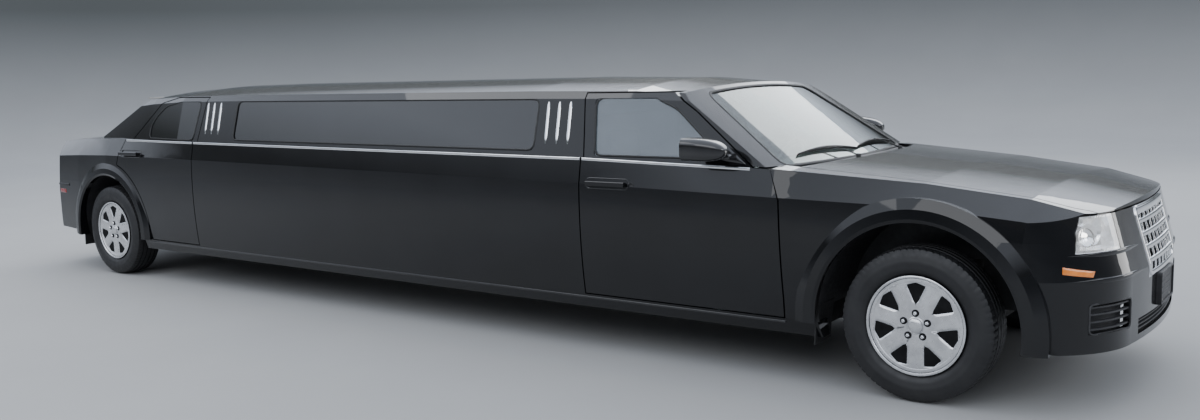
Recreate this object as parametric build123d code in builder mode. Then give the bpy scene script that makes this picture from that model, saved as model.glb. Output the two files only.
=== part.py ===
"""A stretch limousine with four hinged doors, a bonnet, a boot lid, steered front wheels
and four wheels that turn. Millimetres, +X forward, +Y to the car's left, +Z up.
The origin is on the ground, midway along the length."""
from build123d import *
from math import cos, radians, sin, sqrt
import os

# Overall layout
WHEELBASE = 6604.0
FRONT_OVERHANG = 871.0
REAR_OVERHANG = 1080.0
LENGTH = WHEELBASE + FRONT_OVERHANG + REAR_OVERHANG
FRONT_AXLE = LENGTH / 2 - FRONT_OVERHANG
REAR_AXLE = FRONT_AXLE - WHEELBASE
TRACK = 1600.0

# Wheels and tyres
TYRE_RADIUS = 355.5
TYRE_WIDTH = 221.0
RIM_RADIUS = 216.0
RIM_FLANGE = 231.0
RIM_WIDTH = 196.0
RIM_WALL = 12.0
SPOKE_COUNT = 7
SPOKE_DEPTH = 34.0
SPOKE_SETBACK = 12.0
WINDOW_INNER = 108.0
WINDOW_OUTER = 195.0
WINDOW_INNER_HALF = 9.0
WINDOW_OUTER_HALF = 44.0
WINDOW_CORNER = 8.0
HUB_RADIUS = 78.0
HUB_DEPTH = 74.0
STUB_RADIUS = 29.0
STUB_LENGTH = 46.0
BEAD_GAP = 0.3

# Wall thicknesses and gaps
DOOR_WALL = 60.0
FRAME_WALL = 34.0
SKIN = 20.0
BUMPER_WALL = 26.0
ROOF_WALL = 30.0
GLASS = 5.0
GLASS_SETBACK = 6.0
SEAT_GAP = 0.3
PANEL_GAP = 7.0

# Wheel arches
FRONT_ARCH = 470.0
REAR_ARCH = 446.0
FRONT_FLARE = 108.0
REAR_FLARE = 99.0
FLARE_REACH = 941.0
FLARE_ROOT = 880.0
FLARE_BEVEL = 16.0
LINER_WALL = 8.0
LINER_GAP = 6.0
LINER_INNER = 478.0
FRONT_HOUSE_INNER = 470.0
REAR_HOUSE_INNER = 640.0

# Sill
SILL_BOTTOM = 240.0
SILL_TOP = 318.0
SILL_INNER = 790.0
DOOR_BOTTOM = SILL_TOP + PANEL_GAP

# Heights of the level lines
ROOF_SEAM = 1402.0
GLASS_TOP = 1376.0
BUMPER_SEAM = 768.0
TAIL_SEAM = 738.0
FLOOR_TOP = 258.0
FLOOR_WALL = 30.0

# Lower body: one row for each station, from the tail to the nose.
# x, half widths at sill, door foot, waist, shoulder and top edge, heights of shoulder, edge, crown
LOWER_STATIONS = [
    (REAR_AXLE - 1120, 815, 845, 878, 850, 722, 925, 1038, 1062),
    (REAR_AXLE - 450, 850, 888, 915, 895, 790, 950, 1078, 1094),
    (REAR_AXLE, 868, 900, 925, 914, 852, 960, 1088, 1096),
    (REAR_AXLE + 1164, 868, 903, 925, 918, 890, 955, 1078, 1084),
    (FRONT_AXLE - 1850, 868, 903, 925, 918, 890, 925, 1060, 1066),
    (FRONT_AXLE - 700, 868, 903, 925, 918, 880, 903, 1036, 1058),
    (FRONT_AXLE, 862, 898, 925, 915, 780, 893, 984, 1006),
    (FRONT_AXLE + 450, 850, 888, 915, 893, 745, 852, 930, 957),
    (FRONT_AXLE + 900, 800, 830, 850, 820, 690, 780, 818, 866),
]
WAIST_HEIGHT = 640.0
DOOR_FOOT = 322.0

# Upper body: x, half width at base, at window top and at rail, heights of rail and crown
UPPER_STATIONS = [
    (REAR_AXLE - 500, 742, 650, 610, 1330, 1372),
    (REAR_AXLE + 450, 830, 738, 700, 1396, 1458),
    (REAR_AXLE + 900, 872, 777, 740, 1412, 1478),
    (REAR_AXLE + 1500, 872, 777, 742, 1418, 1483),
    (FRONT_AXLE - 2300, 872, 777, 742, 1418, 1483),
    (FRONT_AXLE - 1600, 872, 777, 738, 1412, 1468),
    (FRONT_AXLE - 1000, 872, 777, 728, 1388, 1412),
    (FRONT_AXLE - 400, 872, 777, 720, 1360, 1372),
]
UPPER_BASE = 1030.0

# Nose and tail in plan: half widths and distances ahead of or behind the axle
NOSE_CENTRE = 850.0
NOSE_FRONT = (812.0, 500.0)
NOSE_CORNER = (668.0, 800.0)
NOSE_SIDE = (330.0, 936.0)
NOSE_KNEE = 600.0
NOSE_LEAN = 0.27
TAIL_CENTRE = REAR_OVERHANG
TAIL_BACK = (1052.0, 520.0)
TAIL_CORNER = (940.0, 790.0)
TAIL_SIDE = (560.0, 936.0)
TAIL_KNEE = 660.0
TAIL_LEAN = 0.16

# Windscreen and rear window: centre of the base, rise of the slope and the plan radius
SCREEN_BASE = (FRONT_AXLE - 600, 1020.0)
SCREEN_SLOPE = 32.2
SCREEN_RADIUS = 3200.0
SCREEN_EDGE_LOW = 748.0
SCREEN_EDGE_HIGH = 580.0
SCREEN_TOP = 1392.0
SCREEN_FOOT = 1030.0
SCREEN_BOW = 24.0
BACK_BASE = (REAR_AXLE - 425, 1095.0)
BACK_SLOPE = 23.8
BACK_RADIUS = 2430.0
BACK_EDGE_LOW = 668.0
BACK_EDGE_HIGH = 560.0
BACK_TOP = 1396.0
BACK_FOOT = 1112.0
BACK_BOW = 14.0
SCREEN_CORNER = 30.0

# Bonnet and boot lid
BONNET_FOOT = 872.0
BONNET_WALL = 18.0
LID_FOOT = TAIL_SEAM + PANEL_GAP

# Lamps
LAMP_BACK = FRONT_AXLE + 640
LAMP_INNER = 562.0
LAMP_FOOT = 716.0
LAMP_DEPTH = 60.0
TAIL_LAMP_FRONT = REAR_AXLE - 880
TAIL_LAMP_TOP = 990.0
TAIL_LAMP_DEPTH = 50.0

# Grille
GRILLE_HALF_TOP = 312.0
GRILLE_HALF_FOOT = 286.0
GRILLE_TOP = 866.0
GRILLE_FOOT = 548.0
GRILLE_FRAME = 20.0
GRILLE_BAR = 12.0
GRILLE_BAR_SETBACK = 10.0
GRILLE_DEPTH = 46.0
GRILLE_ROWS = 5
GRILLE_COLUMNS = 8

FAR = 1400.0
FAR_ALONG = 4 * FAR
TALL = 1700.0


def block(x_low, x_high, y_low, y_high, z_low, z_high):
    """A plain box between two corners."""
    with BuildPart() as made:
        with Locations(((x_low + x_high) / 2, (y_low + y_high) / 2, (z_low + z_high) / 2)):
            Box(x_high - x_low, y_high - y_low, z_high - z_low)
    return made.part


def side_prism(outline, grow=0.0, y_near=0.0, y_far=FAR, corner=0.0):
    """An outline drawn in side view, carried through the car's right side."""
    with BuildPart() as made:
        with BuildSketch(Plane.XZ.offset(y_near)):
            with BuildLine():
                Polyline(*outline, close=True)
            make_face()
            if corner:
                fillet(vertices(), corner)
            if grow:
                offset(amount=grow, kind=Kind.INTERSECTION)
        extrude(amount=y_far - y_near)
    return made.part


def front_prism(outline, x_low, x_high, grow=0.0):
    """An outline drawn in front view, y then z, carried along the car."""
    with BuildPart() as made:
        with BuildSketch(Plane.YZ.offset(x_low)):
            with BuildLine():
                Polyline(*outline, close=True)
            make_face()
            if grow:
                offset(amount=grow, kind=Kind.INTERSECTION)
        extrude(amount=x_high - x_low)
    return made.part


def wheel_drum(axle, radius, y_near, y_far, height=TYRE_RADIUS):
    """A drum about a wheel's axis, on the right side."""
    with BuildPart() as made:
        with BuildSketch(Plane.XZ.offset(y_near)):
            with Locations((axle, height)):
                Circle(radius)
        extrude(amount=y_far - y_near)
    return made.part


def mirrored(shape):
    """The same shape on the other side of the car."""
    with BuildPart() as made:
        add(shape)
        mirror(about=Plane.XZ, mode=Mode.REPLACE)
    return made.part


def both_sides(shape):
    """The shape and its mirror image, as one part."""
    with BuildPart() as made:
        add(shape)
        mirror(about=Plane.XZ)
    return made.part


def combine(*shapes):
    """All shapes joined."""
    with BuildPart() as made:
        for shape in shapes:
            add(shape)
    return made.part


def overlap(shape, *others):
    """What the shape shares with every one of the others."""
    with BuildPart() as made:
        add(shape)
        for other in others:
            add(other, mode=Mode.INTERSECT)
    return made.part


def without(shape, *others):
    """The shape with the others cut away."""
    with BuildPart() as made:
        add(shape)
        for other in others:
            add(other, mode=Mode.SUBTRACT)
    return made.part


def lower_section(row, inset):
    """One closed section of the lower body, moved inwards by the inset."""
    x, sill, foot, waist, shoulder, edge, z_shoulder, z_edge, z_crown = row
    bottom = SILL_BOTTOM - (inset and 60)
    with BuildSketch(Plane.YZ.offset(x)) as section:
        with BuildLine():
            right = [(-(sill - inset), bottom), (-(foot - inset), DOOR_FOOT)]
            left = [(-y, z) for y, z in reversed(right)]
            shoulder_right = (-(shoulder - inset), z_shoulder - inset / 2)
            edge_right = (-(edge - inset), z_edge - inset)
            Line(left[1], right[0])
            Line(right[0], right[1])
            ThreePointArc(right[1], (-(waist - inset), WAIST_HEIGHT), shoulder_right)
            Line(shoulder_right, edge_right)
            ThreePointArc(edge_right, (0, z_crown - inset), (-edge_right[0], edge_right[1]))
            Line((-edge_right[0], edge_right[1]), (-shoulder_right[0], shoulder_right[1]))
            ThreePointArc((-shoulder_right[0], shoulder_right[1]), (waist - inset, WAIST_HEIGHT), left[0])
            Line(left[0], left[1])
        make_face()
    return section.sketch


def lean_solid(outline, knee, lean):
    """A plan outline standing straight up to the knee height, then leaning along X."""
    with BuildPart() as made:
        with BuildSketch(Plane.XY):
            add(outline)
        extrude(amount=knee)
        with BuildSketch(Plane.XY.offset(knee)):
            add(outline)
        extrude(amount=TALL - knee, dir=(lean, 0, 1))
    return made.part


def nose_outline(inset):
    """Plan of the front end, from the middle of the car to the nose."""
    front_x, front_y = NOSE_FRONT
    corner_x, corner_y = NOSE_CORNER
    side_x, side_y = NOSE_SIDE
    with BuildSketch() as plan:
        with BuildLine():
            front = FRONT_AXLE - inset
            side = (FRONT_AXLE + side_x, side_y - inset)
            front_end = (front + front_x, front_y - inset)
            corner = (front + corner_x, corner_y - inset)
            ThreePointArc((front_end[0], -front_end[1]), (front + NOSE_CENTRE, 0), front_end)
            ThreePointArc(front_end, corner, side)
            Line(side, (0, side[1]))
            Line((0, side[1]), (0, -side[1]))
            Line((0, -side[1]), (side[0], -side[1]))
            ThreePointArc((side[0], -side[1]), (corner[0], -corner[1]), (front_end[0], -front_end[1]))
        make_face()
    return plan.sketch


def tail_outline(inset):
    """Plan of the rear end, from the tail to the middle of the car."""
    back_x, back_y = TAIL_BACK
    corner_x, corner_y = TAIL_CORNER
    side_x, side_y = TAIL_SIDE
    with BuildSketch() as plan:
        with BuildLine():
            back = REAR_AXLE + inset
            side = (REAR_AXLE - side_x, side_y - inset)
            back_end = (back - back_x, back_y - inset)
            corner = (back - corner_x, corner_y - inset)
            ThreePointArc((back_end[0], -back_end[1]), (back - TAIL_CENTRE, 0), back_end)
            ThreePointArc(back_end, corner, side)
            Line(side, (0, side[1]))
            Line((0, side[1]), (0, -side[1]))
            Line((0, -side[1]), (side[0], -side[1]))
            ThreePointArc((side[0], -side[1]), (corner[0], -corner[1]), (back_end[0], -back_end[1]))
        make_face()
    return plan.sketch


def lower_body(inset):
    """The lower body as one solid, moved inwards by the inset."""
    with BuildPart() as made:
        for row in LOWER_STATIONS:
            add(lower_section(row, inset))
        loft(ruled=True)
        front = lean_solid(nose_outline(inset), NOSE_KNEE, -NOSE_LEAN)
        back = lean_solid(tail_outline(inset), TAIL_KNEE, TAIL_LEAN)
        add(combine(front, back), mode=Mode.INTERSECT)
    return made.part


def upper_section(row, inset):
    """One closed section of the upper body, moved inwards by the inset."""
    x, base, glass, rail, z_rail, z_crown = row
    z_top = min(GLASS_TOP, z_rail - 40)
    deeper = 40 if inset else 0
    with BuildSketch(Plane.YZ.offset(x)) as section:
        with BuildLine():
            foot = (base - inset + deeper * (base - glass) / (z_top - UPPER_BASE), UPPER_BASE - deeper)
            top = (glass - inset, z_top)
            edge = (rail - inset, z_rail - inset)
            Line((-foot[0], foot[1]), (-top[0], top[1]))
            Line((-top[0], top[1]), (-edge[0], edge[1]))
            ThreePointArc((-edge[0], edge[1]), (0, z_crown - inset), edge)
            Line(edge, top)
            Line(top, foot)
            Line(foot, (-foot[0], foot[1]))
        make_face()
    return section.sketch


def slope_solid(base, slope, radius, inset, way):
    """Everything behind a curved, sloping pane. way is 1 for the front pane, -1 for the rear one."""
    base_x, base_z = base
    back = way * inset / sin(radians(slope))
    reach = 1200.0
    with BuildPart() as made:
        with BuildSketch(Plane.XY.offset(base_z)):
            with BuildLine():
                nose_x = base_x - back
                drop = radius - sqrt(radius**2 - FAR**2)
                corner_x = nose_x - way * drop
                far_x = corner_x - way * 7000
                ThreePointArc((corner_x, -FAR), (nose_x, 0), (corner_x, FAR))
                Polyline((corner_x, FAR), (far_x, FAR), (far_x, -FAR), (corner_x, -FAR))
            make_face()
        lean = (-way * cos(radians(slope)), 0, sin(radians(slope)))
        extrude(amount=reach, dir=lean)
        with BuildSketch(Plane.XY.offset(base_z)):
            add(made.faces().sort_by(Axis.Z)[0])
        extrude(amount=-200)
    return made.part


def upper_tunnel(inset):
    """The upper body's sides and roof, not yet cut by the sloping screens."""
    with BuildPart() as made:
        for row in UPPER_STATIONS:
            add(upper_section(row, inset))
        loft(ruled=True)
    return made.part


def upper_body(inset):
    """The roof, pillars and windows as one solid, moved inwards by the inset."""
    with BuildPart() as made:
        add(upper_tunnel(inset))
        add(slope_solid(SCREEN_BASE, SCREEN_SLOPE, SCREEN_RADIUS, inset, 1), mode=Mode.INTERSECT)
        add(slope_solid(BACK_BASE, BACK_SLOPE, BACK_RADIUS, inset, -1), mode=Mode.INTERSECT)
    return made.part


def flare(axle, inner, band):
    """A raised band around a wheel arch, on the right side."""
    outer = inner + band
    with BuildPart() as made:
        with BuildSketch(Plane.XY.offset(TYRE_RADIUS)):
            with BuildLine():
                Polyline(
                    (axle + inner, -FLARE_ROOT),
                    (axle + inner, -FLARE_REACH + FLARE_BEVEL / 2),
                    (axle + inner + FLARE_BEVEL, -FLARE_REACH),
                    (axle + inner + band * 0.55, -FLARE_REACH + 5),
                    (axle + outer, -FLARE_REACH + 24),
                    (axle + outer, -FLARE_ROOT),
                    close=True,
                )
            make_face()
        revolve(axis=Axis((axle, 0, TYRE_RADIUS), (0, 1, 0)), revolution_arc=360)
    return made.part


def axle_points(axle, points):
    """Side view points given from an axle, moved into the car's frame."""
    return [(axle + x, z) for x, z in points]


# Side view outlines: x from the axle, then z
FRONT_DOOR_EDGE = -644
REAR_DOOR_EDGE = 1170
FRONT_DOOR_OUTLINE = axle_points(FRONT_AXLE, [
    (-1838, DOOR_BOTTOM), (-1854, 1060), (-1900, ROOF_SEAM), (-1345, ROOF_SEAM), (-1180, 1302),
    (-825, 1037), (-725, 1034), (-668, 891), (FRONT_DOOR_EDGE, 412), (FRONT_DOOR_EDGE, DOOR_BOTTOM),
])
FRONT_GLASS_OUTLINE = axle_points(FRONT_AXLE, [
    (-1792, 1070), (-1830, GLASS_TOP), (-1440, GLASS_TOP), (-1300, 1324), (-985, 1070),
])
REAR_DOOR_OUTLINE = axle_points(REAR_AXLE, [
    (REAR_DOOR_EDGE, DOOR_BOTTOM), (REAR_DOOR_EDGE, 900), (1166, 1060), (1214, ROOF_SEAM), (811, ROOF_SEAM),
    (596, 1360), (225, 1085), (199, 998), (165, 900), (165, DOOR_BOTTOM),
])
REAR_GLASS_OUTLINE = axle_points(REAR_AXLE, [
    (1118, 1090), (1155, GLASS_TOP), (882, GLASS_TOP), (661, 1346), (531, 1265), (466, 1190), (470, 1094),
])
LONG_WINDOW_OUTLINE = axle_points(FRONT_AXLE, [
    (-5015, 1100), (-5015, GLASS_TOP), (-2215, GLASS_TOP), (-2215, 1088),
])
REAR_DOOR_ARCH = 560.0
HINGED_GAP = 8.0
HINGE_BACK = 38.0
HINGE_LINE = 911.0
HINGE_HEIGHTS = (540.0, 860.0)
HINGE_EYE = 6.0
HINGE_PIN = 3.5
LEAF_HEIGHT = 30.0
NOTCH_HEIGHT = 44.0
NOTCH_BEHIND = 6.0
NOTCH_AHEAD = 20.0
POST_FACE = 823.0
POST_INNER = 770.0
INNER_STEP = 12.0
OUTER_LAYER = 14.0
GLASS_CORNER = 24.0
LONG_GLASS_CORNER = 40.0

# Positions of the hinge lines along the car
FRONT_HINGE_X = FRONT_AXLE + FRONT_DOOR_EDGE - HINGE_BACK
REAR_HINGE_X = REAR_AXLE + REAR_DOOR_EDGE - HINGE_BACK

# Shared solids
lower_outer = combine(
    lower_body(0),
    overlap(both_sides(combine(
        flare(FRONT_AXLE, FRONT_ARCH, FRONT_FLARE),
        flare(REAR_AXLE, REAR_ARCH, REAR_FLARE),
    )), block(-FAR_ALONG, FAR_ALONG, -FAR, FAR, SILL_BOTTOM + 20, TALL)),
)
upper_outer = upper_body(0)
lower_skin_core = lower_body(SKIN)
lower_bumper_core = lower_body(BUMPER_WALL)
lower_door_core = lower_body(DOOR_WALL)
lower_layer_core = lower_body(OUTER_LAYER)
upper_frame_core = upper_body(FRAME_WALL)
upper_layer_core = upper_tunnel(OUTER_LAYER)
upper_side_core = upper_tunnel(FRAME_WALL)
upper_roof_core = upper_body(ROOF_WALL)
glass_outer = upper_body(GLASS_SETBACK)
glass_core = upper_body(GLASS_SETBACK + GLASS)
nose_end = FRONT_AXLE + FRONT_OVERHANG
tail_end = REAR_AXLE - REAR_OVERHANG
behind = tail_end - 50
right_lower = block(-FAR_ALONG, FAR_ALONG, -FAR, -POST_FACE + 20, 0, TALL)
right_upper = block(-FAR_ALONG, FAR_ALONG, -FAR, -690, UPPER_BASE, TALL)
front_wheel_hole = wheel_drum(FRONT_AXLE, FRONT_ARCH, LINER_INNER, FAR)
rear_wheel_hole = wheel_drum(REAR_AXLE, REAR_ARCH, REAR_HOUSE_INNER, FAR)


def wall_slab(lower_core, upper_core, outer_lower, outer_upper, outline, grow=0.0):
    """The lower wall and the window frame above it inside a side view outline."""
    cutter = side_prism(outline, grow)
    lower_part = without(overlap(outer_lower, right_lower, cutter), lower_core)
    upper_part = without(overlap(outer_upper, right_upper, cutter), upper_core)
    return combine(lower_part, upper_part)


def hinge_notches(hinge_x, front_x):
    """Room in a door for its fixed hinge leaves."""
    low = hinge_x - HINGE_EYE - NOTCH_BEHIND
    high = front_x + NOTCH_AHEAD
    reach = HINGE_LINE + HINGE_EYE + SEAT_GAP
    with BuildPart() as made:
        for height in HINGE_HEIGHTS:
            with Locations(((low + high) / 2, -(POST_INNER + reach) / 2, height)):
                Box(high - low, reach - POST_INNER, NOTCH_HEIGHT)
    return made.part


def hinge_pins(hinge_x):
    """The pins that stand in a door's notches."""
    with BuildPart() as made:
        for height in HINGE_HEIGHTS:
            with Locations((hinge_x, -HINGE_LINE, height)):
                Cylinder(HINGE_PIN, NOTCH_HEIGHT + 4)
    return made.part


def hinge_leaves(hinge_x):
    """Fixed leaves with eyes around a door's pins, right side."""
    with BuildPart() as made:
        for height in HINGE_HEIGHTS:
            with Locations((hinge_x, -(POST_FACE - 4 + HINGE_LINE) / 2, height)):
                Box(2 * HINGE_EYE, HINGE_LINE - POST_FACE + 4, LEAF_HEIGHT)
            with Locations((hinge_x, -HINGE_LINE, height)):
                Cylinder(HINGE_EYE, LEAF_HEIGHT)
        for height in HINGE_HEIGHTS:
            with Locations((hinge_x, -HINGE_LINE, height)):
                Cylinder(HINGE_PIN + SEAT_GAP, LEAF_HEIGHT, mode=Mode.SUBTRACT)
    return made.part


def make_door(outline, glass_outline, hinge_x, front_x, extra_cut=None):
    """One right-hand door with its window opening, its notches and its pins."""
    outer_layer = wall_slab(lower_layer_core, upper_layer_core, lower_outer, upper_outer, outline)
    inner_layer = wall_slab(
        lower_door_core, upper_side_core, lower_layer_core,
        overlap(upper_layer_core, upper_outer), outline, -INNER_STEP
    )
    opening = side_prism(glass_outline, corner=GLASS_CORNER)
    with BuildPart() as made:
        add(outer_layer)
        add(inner_layer)
        add(opening, mode=Mode.SUBTRACT)
        if extra_cut:
            add(extra_cut, mode=Mode.SUBTRACT)
        add(hinge_notches(hinge_x, front_x), mode=Mode.SUBTRACT)
        add(hinge_pins(hinge_x))
    return made.part


def make_pane(glass_outline, corner=GLASS_CORNER):
    """A right-hand pane that fills a window opening."""
    return without(overlap(glass_outer, side_prism(glass_outline, -SEAT_GAP, corner=corner)), glass_core)


# Front and rear doors
front_door_right = make_door(
    FRONT_DOOR_OUTLINE, FRONT_GLASS_OUTLINE, FRONT_HINGE_X, FRONT_AXLE + FRONT_DOOR_EDGE
)
rear_door_right = make_door(
    REAR_DOOR_OUTLINE, REAR_GLASS_OUTLINE, REAR_HINGE_X, REAR_AXLE + REAR_DOOR_EDGE,
    wheel_drum(REAR_AXLE, REAR_DOOR_ARCH, 600, FAR),
)
front_door_glass_right = make_pane(FRONT_GLASS_OUTLINE)
rear_door_glass_right = make_pane(REAR_GLASS_OUTLINE)
# Mirrors and door handles
MIRROR_SPAN = (-1130.0, -900.0)
MIRROR_HEIGHTS = (1072.0, 1190.0)
MIRROR_REACH = (905.0, 1052.0)
HANDLE_LENGTH = 250.0
HANDLE_HEIGHT = 26.0
HANDLE_REACH = 944.0
HANDLE_BAR = 14.0
HANDLE_ROUND = 5.0
HANDLE_FOOT = 18.0
HANDLE_ROOT = 892.0
MIRROR_ARM = (-988.0, -922.0)
MIRROR_ARM_ROOT = 800.0


def handle(x_low, height):
    """A pull handle on a right-hand door: a bar on two feet."""
    with BuildPart() as made:
        with Locations((x_low + HANDLE_LENGTH / 2, -HANDLE_REACH + HANDLE_BAR / 2, height)):
            Box(HANDLE_LENGTH, HANDLE_BAR, HANDLE_HEIGHT)
        fillet(made.edges().filter_by(Axis.X), HANDLE_ROUND)
        for end in (x_low + HANDLE_FOOT, x_low + HANDLE_LENGTH - HANDLE_FOOT):
            with Locations((end, -(HANDLE_REACH + HANDLE_ROOT) / 2, height)):
                Box(26, HANDLE_REACH - HANDLE_ROOT - 6, HANDLE_HEIGHT - 8)
    return made.part


def mirror_section(x, corner, corners):
    """One rounded section of the mirror's housing, from its y and z corners."""
    with BuildSketch(Plane.YZ.offset(x)) as section:
        with BuildLine():
            Polyline(*[(-y, z) for y, z in corners], close=True)
        make_face()
        fillet(vertices(), corner)
    return section.sketch


def mirror_body():
    """The right-hand door mirror with its foot on the door's front corner."""
    low, high = MIRROR_SPAN
    z_low, z_high = MIRROR_HEIGHTS
    near, far = MIRROR_REACH
    sections = [
        (low, 26, [(near, z_low + 14), (far, z_low), (far, z_high - 12), (near, z_high)]),
        (high - 60, 26, [(near, z_low + 16), (far, z_low + 6), (far, z_high - 20), (near, z_high - 6)]),
        (high, 20, [
            (near + 4, z_low + 34), (far - 26, z_low + 30), (far - 26, z_high - 46), (near + 4, z_high - 36),
        ]),
    ]
    with BuildPart() as housing:
        for x, corner, corners in sections:
            add(mirror_section(FRONT_AXLE + x, corner, corners))
        loft(ruled=True)
    pocket = block(
        FRONT_AXLE + low - 1, FRONT_AXLE + low + 6, -far + 14, -near - 10, z_low + 16, z_high - 16
    )
    arm_low, arm_high = MIRROR_ARM
    arm = block(
        FRONT_AXLE + arm_low, FRONT_AXLE + arm_high, -near - 20, -MIRROR_ARM_ROOT, z_low + 4, z_low + 32
    )
    return without(combine(without(housing.part, pocket), arm), upper_body(-SEAT_GAP))


# Hinged doors with their handles, glass and mirrors
door_bar = overlap(
    handle(FRONT_AXLE - 1795, 930), block(-FAR_ALONG, FAR_ALONG, -FAR, -900, 0, TALL)
)
rear_bar = overlap(
    handle(REAR_AXLE + 235, 982), block(-FAR_ALONG, FAR_ALONG, -FAR, -885, 0, TALL)
)
front_door_right = combine(front_door_right, door_bar)
rear_door_right = combine(rear_door_right, rear_bar)
mirror_right = mirror_body()

# Plan outlines of bonnet, cowl and boot lid
BONNET_CORNERS = [
    (FRONT_AXLE - 625, 738), (FRONT_AXLE, 728), (FRONT_AXLE + 450, 704), (FRONT_AXLE + 612, 680),
    (FRONT_AXLE + 668, 655), (FRONT_AXLE + 1000, 655),
]
BONNET_CENTRE_BACK = FRONT_AXLE - 530
LID_CORNERS = [
    (REAR_AXLE - 455, 742), (REAR_AXLE - 760, 728), (REAR_AXLE - 900, 692),
    (REAR_AXLE - 985, 652), (REAR_AXLE - 1200, 646),
]


def plan_prism(corners, centre_end, grow=0.0, z_low=0.0, z_high=TALL):
    """A symmetric outline drawn in plan from its right half, with an arc across its first corner."""
    with BuildPart() as made:
        with BuildSketch(Plane.XY.offset(z_low)):
            with BuildLine():
                right = [(x, -y) for x, y in corners]
                left = [(x, y) for x, y in reversed(corners)]
                Polyline(*right)
                Line(right[-1], left[0])
                Polyline(*left)
                ThreePointArc(left[-1], (centre_end, 0), right[0])
            make_face()
            if grow:
                offset(amount=grow, kind=Kind.INTERSECTION)
        extrude(amount=z_high - z_low)
    return made.part


bonnet_area = plan_prism(BONNET_CORNERS, BONNET_CENTRE_BACK, 0, BONNET_FOOT, TALL)
bonnet_room = plan_prism(BONNET_CORNERS, BONNET_CENTRE_BACK, PANEL_GAP, BONNET_FOOT - PANEL_GAP, TALL)
lid_area = plan_prism(LID_CORNERS, REAR_AXLE - 448, 0, LID_FOOT, TALL)
lid_room = plan_prism(LID_CORNERS, REAR_AXLE - 448, PANEL_GAP, LID_FOOT, TALL)
bonnet_core = lower_body(BONNET_WALL)
bonnet_panel = without(overlap(lower_outer, bonnet_area), bonnet_core)
lid_panel = without(overlap(lower_outer, lid_area), bonnet_core)

# Bonnet hinges
BONNET_PIVOT = (FRONT_AXLE - 680, 980.0)
BONNET_EAR_Y = (690.0, 700.0)
BONNET_PIN_R = 5.0
LID_PIVOT = (REAR_AXLE - 305, 1018.0)
LID_ARM_Y = (556.0, 568.0)
ARM_WIDTH = 16.0
EYE_R = 12.0


def ear(pivot, y_span, points, width):
    """A flat arm along points in side view, with an eye around its pivot."""
    near, far = y_span
    with BuildPart() as made:
        with BuildSketch(Plane.XZ.offset(near)):
            with BuildLine():
                Polyline(*points)
            trace(line_width=width)
            with Locations(pivot):
                Circle(EYE_R)
            with Locations(pivot):
                Circle(BONNET_PIN_R + SEAT_GAP, mode=Mode.SUBTRACT)
        extrude(amount=far - near)
    return made.part


bonnet_x, bonnet_z = BONNET_PIVOT
bonnet_arm = overlap(
    ear(BONNET_PIVOT, BONNET_EAR_Y, [
        BONNET_PIVOT, (bonnet_x + 40, bonnet_z + 10), (bonnet_x + 84, bonnet_z + 36),
        (bonnet_x + 150, bonnet_z + 38),
    ], ARM_WIDTH + 4),
    lower_body(6),
)
bonnet = combine(bonnet_panel, both_sides(bonnet_arm))
lid_x, lid_z = LID_PIVOT
lid_arm = overlap(
    ear(LID_PIVOT, LID_ARM_Y, [
        LID_PIVOT, (lid_x - 30, lid_z - 130), (lid_x - 105, lid_z - 175), (lid_x - 205, lid_z - 100),
        (lid_x - 220, lid_z + 60),
    ], ARM_WIDTH),
    lower_body(6),
)
PLATE_FACE = REAR_AXLE - 1030
PLATE_HALF = 170.0
PLATE_LOW = 792.0
PLATE_HIGH = 936.0
PLATE_MIDDLE = (PLATE_LOW + PLATE_HIGH) / 2
PLATE_BACKING = 22.0
PLATE_HOLE_R = 3.2
PLATE_HOLES = (177.8, 120.65)
plate_recess = block(behind, PLATE_FACE, -PLATE_HALF, PLATE_HALF, PLATE_LOW, PLATE_HIGH)
plate_backing = overlap(
    block(
        behind, PLATE_FACE + PLATE_BACKING, -PLATE_HALF - PLATE_BACKING, PLATE_HALF + PLATE_BACKING,
        PLATE_LOW - PLATE_BACKING, PLATE_HIGH + PLATE_BACKING,
    ),
    lower_body(6),
)
boot_lid_shape = combine(without(combine(lid_panel, plate_backing), plate_recess), both_sides(lid_arm))


def plate_holes(x_low, x_high, height):
    """Four bolt holes for a licence plate, through along X."""
    with BuildPart() as made:
        for y in (-PLATE_HOLES[0] / 2, PLATE_HOLES[0] / 2):
            for z in (height - PLATE_HOLES[1] / 2, height + PLATE_HOLES[1] / 2):
                with Locations(Location(((x_low + x_high) / 2, y, z), (0, 90, 0))):
                    Cylinder(PLATE_HOLE_R, x_high - x_low)
    return made.part


boot_lid = without(boot_lid_shape, plate_holes(tail_end, PLATE_FACE + 2 * PLATE_BACKING, PLATE_MIDDLE))

# Screens
def screen_prism(low, high, z_low, z_high, rise, x_low, x_high, grow=0.0):
    """A screen's outline in front view, with a bowed top edge, carried along the car."""
    with BuildPart() as made:
        with BuildSketch(Plane.YZ.offset(x_low)):
            with BuildLine():
                Polyline((-high, z_high), (-low, z_low), (low, z_low), (high, z_high))
                ThreePointArc((high, z_high), (0, z_high + rise), (-high, z_high))
            make_face()
            fillet(vertices(), SCREEN_CORNER)
            if grow:
                offset(amount=grow, kind=Kind.INTERSECTION)
        extrude(amount=x_high - x_low)
    return made.part


front_screen = (
    SCREEN_EDGE_LOW, SCREEN_EDGE_HIGH, SCREEN_FOOT, SCREEN_TOP, SCREEN_BOW,
    FRONT_AXLE - 1700, FRONT_AXLE - 300,
)
back_screen = (BACK_EDGE_LOW, BACK_EDGE_HIGH, BACK_FOOT, BACK_TOP, BACK_BOW, REAR_AXLE - 700, REAR_AXLE + 760)
screen_hole = screen_prism(*front_screen)
back_hole = screen_prism(*back_screen)
windscreen = without(overlap(glass_outer, screen_prism(*front_screen, grow=-SEAT_GAP)), glass_core)
rear_window = without(overlap(glass_outer, screen_prism(*back_screen, grow=-SEAT_GAP)), glass_core)

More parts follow.
